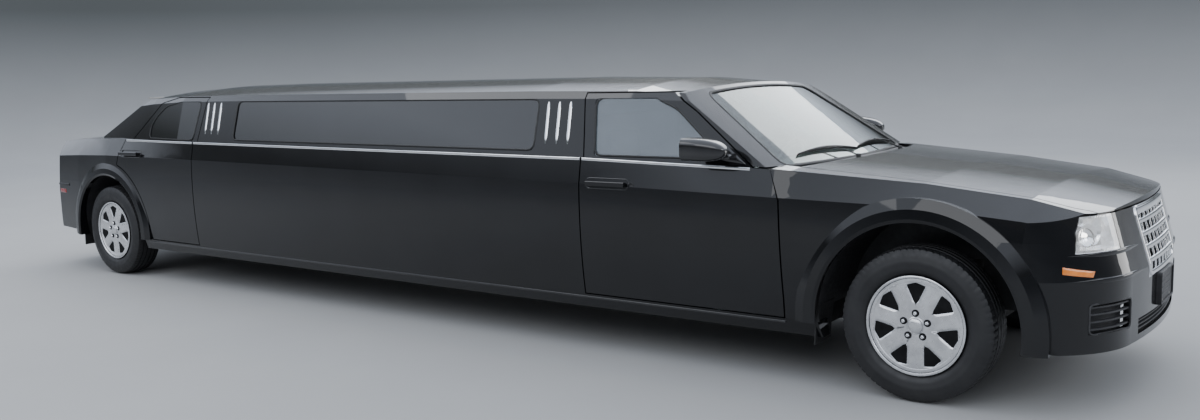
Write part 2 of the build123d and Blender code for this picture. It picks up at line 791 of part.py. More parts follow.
# Roof with its windscreen pillars
ROOF_FOOT = ROOF_SEAM + PANEL_GAP
front_door_room = both_sides(side_prism(FRONT_DOOR_OUTLINE, PANEL_GAP, 500))
roof_area = combine(
    block(-FAR_ALONG, FAR_ALONG, -FAR, FAR, ROOF_FOOT, TALL),
    without(block(FRONT_AXLE - 1320, FRONT_AXLE - 300, -FAR, FAR, UPPER_BASE - 10, TALL), front_door_room),
)
roof_panel = without(overlap(upper_outer, roof_area), upper_roof_core, screen_hole, back_hole, lower_outer)

# Side walls between the doors, with the posts that carry the rear doors' hinges
PANEL_FOOT = SILL_TOP + SEAT_GAP
side_outline = [
    (REAR_AXLE + 1000, PANEL_FOOT), (REAR_AXLE + 1000, ROOF_FOOT),
    (FRONT_AXLE - 1700, ROOF_FOOT), (FRONT_AXLE - 1700, PANEL_FOOT),
]
side_wall = without(
    wall_slab(lower_door_core, upper_side_core, lower_outer, upper_outer, side_outline),
    side_prism(FRONT_DOOR_OUTLINE, HINGED_GAP, 500), side_prism(REAR_DOOR_OUTLINE, HINGED_GAP, 500),
)
long_opening = side_prism(LONG_WINDOW_OUTLINE, corner=LONG_GLASS_CORNER)
rear_post = block(REAR_HINGE_X - 30, REAR_HINGE_X + 110, -POST_FACE, -POST_INNER, PANEL_FOOT, 1000)
rear_bridge = overlap(
    block(REAR_AXLE + 1188, REAR_HINGE_X + 110, -900, -POST_INNER, PANEL_FOOT, 1000), lower_body(30)
)
side_panel_right = combine(
    without(side_wall, long_opening), rear_post, rear_bridge, hinge_leaves(REAR_HINGE_X),
)
side_windows_right = make_pane(LONG_WINDOW_OUTLINE, LONG_GLASS_CORNER)

# Fire wall with the posts that carry the front doors' hinges
WALL_BACK = FRONT_AXLE - 600
WALL_FRONT = FRONT_AXLE - 575
WALL_TOP = 940.0
COWL_DEPTH = 38.0
COWL_DROP = 18.0
front_post = block(FRONT_HINGE_X - 26, WALL_FRONT, -POST_FACE, -POST_INNER, PANEL_FOOT, WALL_TOP)
front_bridge = overlap(
    block(WALL_BACK - 26, WALL_FRONT, -900, -POST_INNER, PANEL_FOOT, WALL_TOP), lower_skin_core
)
fire_wall = combine(
    block(WALL_BACK, WALL_FRONT, -SILL_INNER + SEAT_GAP, SILL_INNER - SEAT_GAP, FLOOR_TOP, WALL_TOP),
    overlap(
        block(WALL_BACK, WALL_FRONT, -600, 600, WALL_TOP - 40, TALL), lower_body(COWL_DEPTH + SEAT_GAP)
    ),
    both_sides(combine(front_post, front_bridge, hinge_leaves(FRONT_HINGE_X))),
)

# Lamps
LAMP_TOP = BONNET_FOOT - PANEL_GAP
LAMP_WALL = 10.0
lamp_box = block(LAMP_BACK, nose_end, -FAR, -LAMP_INNER, LAMP_FOOT, LAMP_TOP)
lamp_core = lower_body(LAMP_DEPTH)
lens_core = lower_body(4)
housing_outer = lower_body(4 + SEAT_GAP)
cup_core = lower_body(LAMP_DEPTH - 6)
headlamp_lens_right = without(overlap(lower_body(0), lamp_box), lens_core)
lamp_shell = without(overlap(housing_outer, lamp_box), lamp_core)
lamp_bowl = block(
    LAMP_BACK + LAMP_WALL + 2, nose_end, -FAR, -LAMP_INNER - LAMP_WALL,
    LAMP_FOOT + LAMP_WALL, LAMP_TOP - LAMP_WALL,
)
headlamp_right = without(lamp_shell, overlap(without(lamp_bowl, cup_core), lower_body(0)))
tail_box = without(
    block(behind, TAIL_LAMP_FRONT, -FAR, -500, TAIL_SEAM, TAIL_LAMP_TOP),
    plan_prism(LID_CORNERS, REAR_AXLE - 448, PANEL_GAP),
)
tail_lamp_right = without(overlap(lower_body(0), tail_box), lower_body(TAIL_LAMP_DEPTH))

# Bumpers
NOSE_BACK = FRONT_AXLE + 500
BUMPER_BACK = 364
BUMPER_FOOT = 290
BUMPER_TOP = BUMPER_SEAM - 4
bumper_side = side_prism(axle_points(FRONT_AXLE, [
    (BUMPER_BACK, BUMPER_FOOT), (BUMPER_BACK, BUMPER_TOP), (1200, BUMPER_TOP), (1200, BUMPER_FOOT),
]))
bumper_middle = block(
    FRONT_AXLE + 560, nose_end, -LAMP_INNER + 1, LAMP_INNER - 1, BUMPER_TOP - 6, LAMP_TOP
)
grille_outline = [
    (-GRILLE_HALF_FOOT, GRILLE_FOOT), (GRILLE_HALF_FOOT, GRILLE_FOOT),
    (GRILLE_HALF_TOP, GRILLE_TOP), (-GRILLE_HALF_TOP, GRILLE_TOP),
]
grille_room = front_prism(grille_outline, NOSE_BACK, nose_end, SEAT_GAP)
front_shell = without(
    overlap(lower_outer, combine(both_sides(bumper_side), bumper_middle)), lower_bumper_core
)
lower_intake = block(NOSE_BACK, nose_end, -420, 420, 318, 388)
side_intake = block(NOSE_BACK - 100, nose_end, -770, -520, 372, 500)
lamp_room = block(LAMP_BACK - 1, nose_end, -FAR, -LAMP_INNER + 1, LAMP_FOOT - 1, BONNET_FOOT + 10)
front_bumper = without(
    front_shell, grille_room, lower_intake, both_sides(side_intake), both_sides(lamp_room),
    both_sides(front_wheel_hole),
)
rear_shell = without(
    overlap(lower_outer, block(behind, REAR_AXLE - 300, -FAR, FAR, BUMPER_FOOT, TAIL_SEAM - SEAT_GAP)),
    lower_bumper_core,
)
rear_undercut = both_sides(side_prism(axle_points(REAR_AXLE, [
    (-300, 0), (-300, BUMPER_FOOT), (-430, 292), (-640, 326), (-1200, 350), (-1200, 0),
])))
rear_bumper = without(rear_shell, both_sides(rear_wheel_hole), rear_undercut)

# Grille
grille_depth_core = lower_body(GRILLE_DEPTH)
grille_solid = without(
    overlap(lower_body(0), front_prism(grille_outline, NOSE_BACK, nose_end)), grille_depth_core
)
grille_inner = front_prism(grille_outline, NOSE_BACK, nose_end, -GRILLE_FRAME)
grille_bars_outer = lower_body(GRILLE_BAR_SETBACK)
cell_height = (GRILLE_TOP - GRILLE_FOOT - 2 * GRILLE_FRAME - (GRILLE_ROWS - 1) * GRILLE_BAR) / GRILLE_ROWS
cell_width = (2 * GRILLE_HALF_TOP - 2 * GRILLE_FRAME - (GRILLE_COLUMNS - 1) * GRILLE_BAR) / GRILLE_COLUMNS
with BuildPart() as grille_cells:
    for row in range(GRILLE_ROWS):
        for column in range(GRILLE_COLUMNS):
            z = GRILLE_FOOT + GRILLE_FRAME + cell_height / 2 + row * (cell_height + GRILLE_BAR)
            y = (column - (GRILLE_COLUMNS - 1) / 2) * (cell_width + GRILLE_BAR)
            with Locations(((NOSE_BACK + nose_end) / 2, y, z)):
                Box(nose_end - NOSE_BACK, cell_width, cell_height)
grille_bars = overlap(
    without(grille_solid, overlap(grille_cells.part, grille_inner)), grille_bars_outer, grille_inner
)
grille = combine(without(grille_solid, grille_inner), grille_bars)

# Front wings, cowl panel and rear quarters
WING_TIP = -717
wing_outline = axle_points(FRONT_AXLE, [
    (-636, PANEL_FOOT), (-636, 412), (-660, 891), (WING_TIP, 1020), (WING_TIP, 1200),
    (1200, 1200), (1200, PANEL_FOOT),
])
wing_wall = without(
    overlap(lower_outer, side_prism(wing_outline), block(-FAR_ALONG, FAR_ALONG, -FAR, -500, 0, TALL)),
    lower_skin_core,
)
bumper_area = side_prism(axle_points(FRONT_AXLE, [
    (BUMPER_BACK - SEAT_GAP, 0), (BUMPER_BACK - SEAT_GAP, BUMPER_TOP + SEAT_GAP),
    (1200, BUMPER_TOP + SEAT_GAP), (1200, 0),
]))
lamp_clear = block(LAMP_BACK - SEAT_GAP, nose_end, -FAR, -500, LAMP_FOOT - 5, LAMP_TOP + SEAT_GAP)
wing_right = without(
    wing_wall, front_wheel_hole, bumper_area, lamp_clear, bonnet_room,
    block(FRONT_AXLE - 800, FRONT_AXLE - 498, -750, 0, 0, TALL),
)
BRACKET_HALF = 16.0
BRACKET_OUTER = 775.0
BRACKET_INNER = BONNET_EAR_Y[1] + 6
BRACKET_POST = 752.0
bonnet_bracket = combine(
    overlap(
        block(
            bonnet_x - BRACKET_HALF, bonnet_x + BRACKET_HALF, -BRACKET_OUTER, -BRACKET_POST,
            bonnet_z - 20, TALL,
        ),
        lower_body(4),
    ),
    block(
        bonnet_x - BRACKET_HALF, bonnet_x + BRACKET_HALF, -BRACKET_OUTER, -BRACKET_INNER,
        bonnet_z - 20, bonnet_z + 20,
    ),
)
with BuildPart() as bonnet_pin:
    with Locations(Location((bonnet_x, -(BONNET_EAR_Y[0] + BRACKET_INNER) / 2 + 1, bonnet_z), (90, 0, 0))):
        Cylinder(BONNET_PIN_R, BRACKET_INNER - BONNET_EAR_Y[0] + 4)
wing_right = combine(wing_right, bonnet_bracket, bonnet_pin.part)
cowl_core = lower_body(COWL_DEPTH)
cowl_low = lower_body(COWL_DROP)
pane_room = without(
    overlap(upper_body(GLASS_SETBACK - SEAT_GAP), screen_hole), upper_body(GLASS_SETBACK + GLASS + SEAT_GAP)
)
cowl_well = without(
    overlap(cowl_low, block(FRONT_AXLE - 900, FRONT_AXLE - 500, -749, 749, 900, TALL)), cowl_core, bonnet_room
)
cowl_side = block(FRONT_AXLE - 900, FRONT_AXLE + WING_TIP - SEAT_GAP, -795, -740, 900, TALL)
cowl_sides = without(overlap(lower_body(0), both_sides(cowl_side)), cowl_core)
hinge_slot = block(bonnet_x - 24, bonnet_x + 110, -BRACKET_INNER, -BONNET_EAR_Y[0] + 6, 900, TALL)
cowl_panel = without(combine(cowl_well, cowl_sides), pane_room, both_sides(hinge_slot))
CABIN_SIDES = [(REAR_AXLE - 130, 712), (REAR_AXLE + 450, 768), (REAR_AXLE + 900, 812)]
rear_area = block(behind, REAR_AXLE + 830, -FAR, FAR, PANEL_FOOT, ROOF_FOOT - SEAT_GAP)
door_room = without(
    side_prism(REAR_DOOR_OUTLINE, HINGED_GAP), wheel_drum(REAR_AXLE, REAR_DOOR_ARCH - HINGED_GAP, 0, FAR)
)
quarter_lower = without(overlap(lower_outer, rear_area), lower_skin_core)
quarter_upper = without(overlap(upper_outer, rear_area), upper_frame_core)
quarter_room = combine(
    both_sides(door_room), both_sides(rear_wheel_hole), lid_room,
    block(behind, REAR_AXLE - 300 + SEAT_GAP, -FAR, FAR, 0, TAIL_SEAM),
    block(behind, REAR_AXLE - 400, -648, 648, 0, TALL),
    plan_prism(CABIN_SIDES, REAR_AXLE - 131, 0, 300, 1100),
)
tail_clear = block(behind, TAIL_LAMP_FRONT + SEAT_GAP, -FAR, FAR, 0, TAIL_LAMP_TOP + SEAT_GAP)
rear_quarters_shell = without(combine(quarter_lower, quarter_upper), quarter_room, tail_clear, back_hole)
lid_bracket = block(lid_x - 14, lid_x + 14, -584, -574, lid_z - 14, 1080)
with BuildPart() as lid_pin:
    with Locations(Location((lid_x, -(LID_ARM_Y[0] + 576) / 2, lid_z), (90, 0, 0))):
        Cylinder(BONNET_PIN_R, 576 - LID_ARM_Y[0] + 2)
rear_quarters = combine(rear_quarters_shell, both_sides(combine(lid_bracket, lid_pin.part)))

# Sills and floor
sill_room = block(REAR_AXLE + 300, FRONT_AXLE - 300, -FAR, -SILL_INNER, SILL_BOTTOM, SILL_TOP)
sill_right = without(overlap(lower_body(0), sill_room), front_wheel_hole, rear_wheel_hole)
FLOOR_PROFILE = [
    (WALL_BACK - REAR_AXLE, FLOOR_TOP), (620, FLOOR_TOP), (480, 430), (-330, 430), (-420, 360),
    (-960, 360), (-960, 330), (-440, 330), (-345, 400), (465, 400), (600, FLOOR_TOP - FLOOR_WALL),
    (WALL_FRONT - REAR_AXLE, FLOOR_TOP - FLOOR_WALL), (WALL_FRONT - REAR_AXLE, FLOOR_TOP),
]
floor_half = side_prism(axle_points(REAR_AXLE, FLOOR_PROFILE), 0, 0, SILL_INNER)
floor_pan = overlap(
    both_sides(without(
        floor_half,
        wheel_drum(
            REAR_AXLE, REAR_ARCH + LINER_GAP + LINER_WALL + SEAT_GAP, REAR_HOUSE_INNER - SEAT_GAP, FAR
        ),
    )),
    lower_body(BUMPER_WALL + SEAT_GAP),
)


def wheelhouse(axle, radius, y_inner, y_outer):
    """A liner over a wheel: an arched roof and an inner wall."""
    with BuildPart() as made:
        with BuildSketch(Plane.XZ.offset(y_inner)):
            with Locations((axle, TYRE_RADIUS)):
                Circle(radius + LINER_WALL)
        extrude(amount=y_outer - y_inner)
        with BuildSketch(Plane.XZ.offset(y_inner + LINER_WALL)):
            with Locations((axle, TYRE_RADIUS)):
                Circle(radius)
        extrude(amount=y_outer - y_inner, mode=Mode.SUBTRACT)
        add(block(axle - 900, axle + 900, -FAR, 0, 0, SILL_TOP + 60), mode=Mode.SUBTRACT)
        add(
            block(axle - 170, axle + 170, -y_inner - 20, -y_inner + 20, 0, TYRE_RADIUS + 250),
            mode=Mode.SUBTRACT,
        )
    return made.part


front_house = overlap(
    wheelhouse(FRONT_AXLE, FRONT_ARCH + LINER_GAP, FRONT_HOUSE_INNER, FAR), lower_body(BUMPER_WALL + SEAT_GAP)
)
rear_house = overlap(
    wheelhouse(REAR_AXLE, REAR_ARCH + LINER_GAP, REAR_HOUSE_INNER, FAR), lower_body(BUMPER_WALL + SEAT_GAP)
)

# Wheels
RIM_FACE = TRACK / 2 + RIM_WIDTH / 2
RIM_BACK = RIM_FACE - RIM_WIDTH
SPOKE_FACE = RIM_FACE - SPOKE_SETBACK
SPOKE_BACK = SPOKE_FACE - SPOKE_DEPTH
HUB_BACK = TRACK / 2 - 10
DISC_RADIUS = 160.0
DISC_FACE = HUB_BACK - 24
STUB_END = HUB_BACK + 30


def wheel_axis(axle):
    """The line a wheel turns about."""
    return Axis((axle, 0, TYRE_RADIUS), (0, 1, 0))


def make_rim(axle):
    """A right-hand alloy rim with its hub and its brake disc."""
    inner = RIM_RADIUS - RIM_WALL
    with BuildPart() as made:
        with BuildSketch(Plane.XY.offset(TYRE_RADIUS)):
            with BuildLine():
                Polyline(
                    (axle + inner, -RIM_FACE + 14), (axle + RIM_FLANGE - 8, -RIM_FACE),
                    (axle + RIM_FLANGE, -RIM_FACE), (axle + RIM_FLANGE, -RIM_FACE + 7),
                    (axle + RIM_RADIUS, -RIM_FACE + 11), (axle + RIM_RADIUS, -RIM_BACK - 11),
                    (axle + RIM_FLANGE, -RIM_BACK - 7), (axle + RIM_FLANGE, -RIM_BACK),
                    (axle + RIM_FLANGE - 8, -RIM_BACK), (axle + inner, -RIM_BACK - 14), close=True,
                )
            make_face()
        revolve(axis=wheel_axis(axle), revolution_arc=360)
        with BuildSketch(Plane.XZ.offset(SPOKE_BACK)):
            with Locations((axle, TYRE_RADIUS)):
                Circle(inner + 2)
        extrude(amount=SPOKE_DEPTH)
        with BuildSketch(Plane.XZ.offset(SPOKE_BACK - 5)):
            with Locations((axle, TYRE_RADIUS)):
                with PolarLocations(0, SPOKE_COUNT, start_angle=90):
                    with BuildLine():
                        Polyline(
                            (WINDOW_INNER, -WINDOW_INNER_HALF), (WINDOW_OUTER, -WINDOW_OUTER_HALF),
                            (WINDOW_OUTER, WINDOW_OUTER_HALF), (WINDOW_INNER, WINDOW_INNER_HALF), close=True,
                        )
                    make_face()
            fillet(vertices(), WINDOW_CORNER)
        extrude(amount=SPOKE_DEPTH + 10, mode=Mode.SUBTRACT)
        with BuildSketch(Plane.XZ.offset(DISC_FACE)):
            with Locations((axle, TYRE_RADIUS)):
                Circle(DISC_RADIUS)
        extrude(amount=HUB_BACK - DISC_FACE)
        with BuildSketch(Plane.XZ.offset(HUB_BACK - 1)):
            with Locations((axle, TYRE_RADIUS)):
                Circle(HUB_RADIUS)
        extrude(amount=SPOKE_BACK + 2 - HUB_BACK)
        with BuildSketch(Plane.XZ.offset(DISC_FACE - 1)):
            with Locations((axle, TYRE_RADIUS)):
                Circle(STUB_RADIUS + SEAT_GAP)
        extrude(amount=STUB_END + SEAT_GAP + 1 - DISC_FACE, mode=Mode.SUBTRACT)
    return made.part


def make_tyre(axle):
    """A right-hand tyre, hollow towards the rim."""
    middle = -TRACK / 2
    half = TYRE_WIDTH / 2
    seat = RIM_RADIUS + BEAD_GAP
    lip = RIM_WIDTH / 2 - 11 - BEAD_GAP
    with BuildPart() as made:
        with BuildSketch(Plane.XY.offset(TYRE_RADIUS)):
            with BuildLine():
                outer_low = (axle + RIM_FLANGE + 1, middle - lip - 3.5)
                shoulder_low = (axle + TYRE_RADIUS - 9, middle - half + 20)
                shoulder_high = (axle + TYRE_RADIUS - 9, middle + half - 20)
                outer_high = (axle + RIM_FLANGE + 1, middle + lip + 3.5)
                Polyline((axle + seat, middle - lip + 12), (axle + seat, middle - lip), outer_low)
                ThreePointArc(outer_low, (axle + 288, middle - half), shoulder_low)
                ThreePointArc(shoulder_low, (axle + TYRE_RADIUS, middle), shoulder_high)
                ThreePointArc(shoulder_high, (axle + 288, middle + half), outer_high)
                Polyline(outer_high, (axle + seat, middle + lip), (axle + seat, middle + lip - 12))
                inner_high = (axle + RIM_FLANGE + 8, middle + lip - 10)
                inner_low = (axle + RIM_FLANGE + 8, middle - lip + 10)
                Line((axle + seat, middle + lip - 12), inner_high)
                ThreePointArc(inner_high, (axle + 290, middle + half - 12), (axle + 336, middle + half - 32))
                Line((axle + 336, middle + half - 32), (axle + 336, middle - half + 32))
                ThreePointArc((axle + 336, middle - half + 32), (axle + 290, middle - half + 12), inner_low)
                Line(inner_low, (axle + seat, middle - lip + 12))
            make_face()
        revolve(axis=wheel_axis(axle), revolution_arc=360)
    return made.part


# Steering knuckle, right side
KINGPIN_Y = 716.0
BOSS_R = 24.0
BOSS_LOW = 205.0
BOSS_HIGH = 505.0
with BuildPart() as knuckle:
    with Locations((FRONT_AXLE, -KINGPIN_Y, (BOSS_LOW + BOSS_HIGH) / 2)):
        Cylinder(BOSS_R, BOSS_HIGH - BOSS_LOW)
    with BuildSketch(Plane.XZ.offset(KINGPIN_Y)):
        with Locations((FRONT_AXLE, TYRE_RADIUS)):
            Circle(STUB_RADIUS)
    extrude(amount=STUB_END - KINGPIN_Y)
    with BuildSketch(Plane.XZ.offset(KINGPIN_Y - 20)):
        with Locations((FRONT_AXLE, TYRE_RADIUS)):
            Circle(60)
    extrude(amount=40)
    with Locations((FRONT_AXLE - 70, -KINGPIN_Y + 8, 300)):
        Box(140, 24, 26)
    with Locations((FRONT_AXLE + 118, -KINGPIN_Y - 12, TYRE_RADIUS + 50)):
        Box(60, 30, 120)
    with Locations((FRONT_AXLE + 60, -KINGPIN_Y, TYRE_RADIUS + 50)):
        Box(80, 26, 40)

# Front subframe with its arms, rear subframe with its axle shafts
with BuildPart() as front_frame:
    with Locations((FRONT_AXLE, 0, 250)):
        Box(200, 860, 100)
    for side in (-1, 1):
        with Locations(((WALL_FRONT + SEAT_GAP + FRONT_AXLE + 585) / 2, side * 385, 440)):
            Box(FRONT_AXLE + 585 - WALL_FRONT - SEAT_GAP, 70, 80)
        with Locations((FRONT_AXLE, side * 385, 350)):
            Box(160, 60, 150)
        with Locations((FRONT_AXLE, side * (KINGPIN_Y + 420) / 2, 192)):
            Box(44, KINGPIN_Y - 420 + 40, 24)
        with Locations((FRONT_AXLE, side * KINGPIN_Y, 192)):
            Cylinder(BOSS_R, 24)
        with Locations((FRONT_AXLE, side * (KINGPIN_Y + 400) / 2, BOSS_HIGH + SEAT_GAP + 10)):
            Box(36, KINGPIN_Y - 400, 20)
        with Locations((FRONT_AXLE, side * KINGPIN_Y, BOSS_HIGH + SEAT_GAP + 10)):
            Cylinder(BOSS_R, 20)
        with Locations((FRONT_AXLE, side * 402, 490)):
            Box(120, 36, 70)
with BuildPart() as rear_frame:
    with Locations((REAR_AXLE, 0, 320)):
        Box(420, 900, 60)
    with Locations((REAR_AXLE, 0, TYRE_RADIUS - 20)):
        Box(300, 240, 128.4)
    for side in (-1, 1):
        with Locations((REAR_AXLE, side * 560, TYRE_RADIUS)):
            Box(90, 300, 70)
        with Locations((REAR_AXLE, side * 700, TYRE_RADIUS)):
            Box(120, 60, 200)
    with BuildSketch(Plane.XZ.offset(-STUB_END)):
        with Locations((REAR_AXLE, TYRE_RADIUS)):
            Circle(STUB_RADIUS)
    extrude(amount=2 * STUB_END)

# Engine, radiator, exhaust and tank
ENGINE_SPAN = (FRONT_AXLE - 450, FRONT_AXLE + 380)
ENGINE_FOOT = 300 + SEAT_GAP
ENGINE_TOP = 880.0
RADIATOR_BACK = FRONT_AXLE + 590
RADIATOR_FRONT = FRONT_AXLE + 630
PIPE_Y = 150.0
PIPE_Z = 190.0
PIPE_RADIUS = 27.0
SILENCER_X = REAR_AXLE - 700
SILENCER_Y = 420.0
TIP_Y = 480.0
TIP_Z = 252.0
TIP_RADIUS = 32.0
HANGER_FOOT = 214.0
TAIL_HANGER_FOOT = 290.0
TANK_SPAN = (REAR_AXLE + 215, REAR_AXLE + 450)
engine = block(*ENGINE_SPAN, -300, 300, ENGINE_FOOT, ENGINE_TOP)
radiator = combine(
    block(RADIATOR_BACK, RADIATOR_FRONT, -340, 340, 300, 860),
    both_sides(block(RADIATOR_BACK - 5, RADIATOR_FRONT, -440, -330, 380, 500)),
)
HANGER_X = (REAR_AXLE + 900, REAR_AXLE + 2600, REAR_AXLE + 4300)
hanger_top = FLOOR_TOP - FLOOR_WALL - SEAT_GAP
tail_hanger_top = 330 - SEAT_GAP
with BuildPart() as exhaust_pipes:
    with BuildSketch(Plane.YZ.offset(REAR_AXLE - 560)):
        with Locations((-PIPE_Y, PIPE_Z), (PIPE_Y, PIPE_Z)):
            Circle(PIPE_RADIUS)
    extrude(amount=WHEELBASE + 200)
    with Locations((SILENCER_X, -SILENCER_Y, 245), (SILENCER_X, SILENCER_Y, 245)):
        Box(300, 260, 110)
    with Locations((REAR_AXLE - 600, 0, 210)):
        Box(60, 900, 40)
    with BuildSketch(Plane.YZ.offset(tail_end + 30)):
        with Locations((-TIP_Y, TIP_Z), (TIP_Y, TIP_Z)):
            Circle(TIP_RADIUS)
    extrude(amount=300)
    with Locations(*[
        (x, side * PIPE_Y, (HANGER_FOOT + hanger_top) / 2) for x in HANGER_X for side in (-1, 1)
    ]):
        Box(30, 40, hanger_top - HANGER_FOOT)
    with Locations(*[
        (SILENCER_X, side * SILENCER_Y, (TAIL_HANGER_FOOT + tail_hanger_top) / 2) for side in (-1, 1)
    ]):
        Box(40, 40, tail_hanger_top - TAIL_HANGER_FOOT)
tank = block(*TANK_SPAN, -520, 520, 235, 400 - SEAT_GAP)

# Front seats: where each cushion, base, back and headrest stands, and its size
DRIVER_Y = 385.0
SEAT_X = FRONT_AXLE - 1560
FRONT_SEAT_BLOCKS = [
    ((SEAT_X, DRIVER_Y, 410), 0, (520, 500, 130)),
    ((SEAT_X, DRIVER_Y, FLOOR_TOP + SEAT_GAP + 45), 0, (420, 380, 90)),
    ((SEAT_X - 290, DRIVER_Y, 720), -14, (130, 490, 620)),
    ((SEAT_X - 370, DRIVER_Y, 1100), -10, (90, 260, 170)),
]
with BuildPart() as front_seats:
    for side in (-1, 1):
        for (x, y, z), tilt, size in FRONT_SEAT_BLOCKS:
            with Locations(Location((x, side * y, z), (0, tilt, 0))):
                Box(*size)

# Lounge: the rear bench across the car and the long bench down its left side
LOUNGE_FOOT = 430 + SEAT_GAP
SIDE_BENCH_X = REAR_AXLE + 2600
SIDE_BENCH_LENGTH = 3200.0
SIDE_BENCH_TOP = 542.0
side_bench_foot = FLOOR_TOP + SEAT_GAP
with BuildPart() as lounge:
    with Locations((REAR_AXLE + 540, 0, LOUNGE_FOOT + 70)):
        Box(600, 1240, 140)
    with Locations(Location((REAR_AXLE + 190, 0, 790), (0, -14, 0))):
        Box(150, 1240, 600)
    with Locations((SIDE_BENCH_X, 520, (side_bench_foot + SIDE_BENCH_TOP) / 2)):
        Box(SIDE_BENCH_LENGTH, 460, SIDE_BENCH_TOP - side_bench_foot)
    with Locations((SIDE_BENCH_X, 700, 740)):
        Box(SIDE_BENCH_LENGTH, 110, 460)

# Partition with its window, and the cabinet opposite the long bench
PARTITION_BACK = FRONT_AXLE - 2130
PARTITION_WALL = 40.0
CABINET_TOP = 760.0
partition = without(
    block(
        PARTITION_BACK, PARTITION_BACK + PARTITION_WALL, -730, 730, FLOOR_TOP + SEAT_GAP, 1330
    ),
    block(PARTITION_BACK - 70, PARTITION_BACK + 130, -500, 500, 860, 1260),
)
bar_cabinet = block(REAR_AXLE + 1500, REAR_AXLE + 3900, -750, -470, FLOOR_TOP + SEAT_GAP, CABINET_TOP)

# Dashboard with the steering wheel and its column
WHEEL_CENTRE = (FRONT_AXLE - 1270, DRIVER_Y, 905)
WHEEL_LEAN = (0.9, 0, -0.436)
WHEEL_RADIUS = 190.0
WHEEL_RIM = 28.0
dash = block(FRONT_AXLE - 1010, WALL_BACK - SEAT_GAP, -740, 740, 690, WALL_TOP - 2)
with BuildPart() as steering_wheel:
    with BuildSketch(Plane(origin=WHEEL_CENTRE, x_dir=(0, 1, 0), z_dir=[-v for v in WHEEL_LEAN])):
        Circle(WHEEL_RADIUS)
        Circle(WHEEL_RADIUS - WHEEL_RIM, mode=Mode.SUBTRACT)
        Rectangle(2 * WHEEL_RADIUS - WHEEL_RIM - 12, 30)
        Circle(52)
    extrude(amount=26)
    with BuildSketch(Plane(origin=WHEEL_CENTRE, x_dir=(0, 1, 0), z_dir=WHEEL_LEAN)):
        Circle(30)
    extrude(amount=330)
dashboard = combine(dash, steering_wheel.part)

# Front number plate bracket
BRACKET_LOW = 395.0
BRACKET_HIGH = 551.0
BRACKET_BACK = FRONT_AXLE + 838
plate_bracket = without(
    block(BRACKET_BACK, nose_end, -155, 155, BRACKET_LOW, BRACKET_HIGH), lower_body(-SEAT_GAP),
    plate_holes(BRACKET_BACK - 8, nose_end + 10, (BRACKET_LOW + BRACKET_HIGH) / 2),
)

# Every node, by name
rim_front = make_rim(FRONT_AXLE)
rim_rear = make_rim(REAR_AXLE)
tyre_front = make_tyre(FRONT_AXLE)
tyre_rear = make_tyre(REAR_AXLE)
pieces = {
    "front_door_right": front_door_right,
    "front_door_left": mirrored(front_door_right),
    "rear_door_right": rear_door_right,
    "rear_door_left": mirrored(rear_door_right),
    "front_door_glass_right": front_door_glass_right,
    "front_door_glass_left": mirrored(front_door_glass_right),
    "rear_door_glass_right": rear_door_glass_right,
    "rear_door_glass_left": mirrored(rear_door_glass_right),
    "mirror_right": mirror_right,
    "mirror_left": mirrored(mirror_right),
    "bonnet": bonnet,
    "boot_lid": boot_lid,
    "windscreen": windscreen,
    "rear_window": rear_window,
    "roof_panel": roof_panel,
    "side_panels": both_sides(side_panel_right),
    "side_windows": both_sides(side_windows_right),
    "fire_wall": fire_wall,
    "headlamps": both_sides(headlamp_right),
    "headlamp_lenses": both_sides(headlamp_lens_right),
    "tail_lamps": both_sides(tail_lamp_right),
    "front_bumper": front_bumper,
    "rear_bumper": rear_bumper,
    "grille": grille,
    "front_wings": both_sides(wing_right),
    "cowl_panel": cowl_panel,
    "rear_quarters": rear_quarters,
    "sills": both_sides(sill_right),
    "floor_pan": floor_pan,
    "front_wheelhouses": both_sides(front_house),
    "rear_wheelhouses": both_sides(rear_house),
    "front_rim_right": rim_front,
    "front_rim_left": mirrored(rim_front),
    "rear_rim_right": rim_rear,
    "rear_rim_left": mirrored(rim_rear),
    "front_tyre_right": tyre_front,
    "front_tyre_left": mirrored(tyre_front),
    "rear_tyre_right": tyre_rear,
    "rear_tyre_left": mirrored(tyre_rear),
    "knuckle_right": knuckle.part,
    "knuckle_left": mirrored(knuckle.part),
    "front_subframe": front_frame.part,
    "rear_subframe": rear_frame.part,
    "engine_block": engine,
    "radiator": radiator,
    "exhaust": exhaust_pipes.part,
    "fuel_tank": tank,
    "front_seats": front_seats.part,
    "partition": partition,
    "lounge_seats": lounge.part,
    "bar_cabinet": bar_cabinet,
    "dashboard": dashboard,
    "plate_bracket": plate_bracket,
}
os.makedirs("parts", exist_ok=True)
for name, shape in pieces.items():
    shape.label = name
    export_step(shape, f"parts/{name}.step")
    box = shape.bounding_box()
    print(
        name, len(shape.solids()), round(shape.volume / 1e6, 2), shape.is_valid,
        [round(v) for v in (box.min.X, box.max.X, box.min.Y, box.max.Y, box.min.Z, box.max.Z)],
    )
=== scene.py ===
from math import cos, pi, radians, sin

import bmesh
import bpy
import numpy as np
from mathutils import Matrix


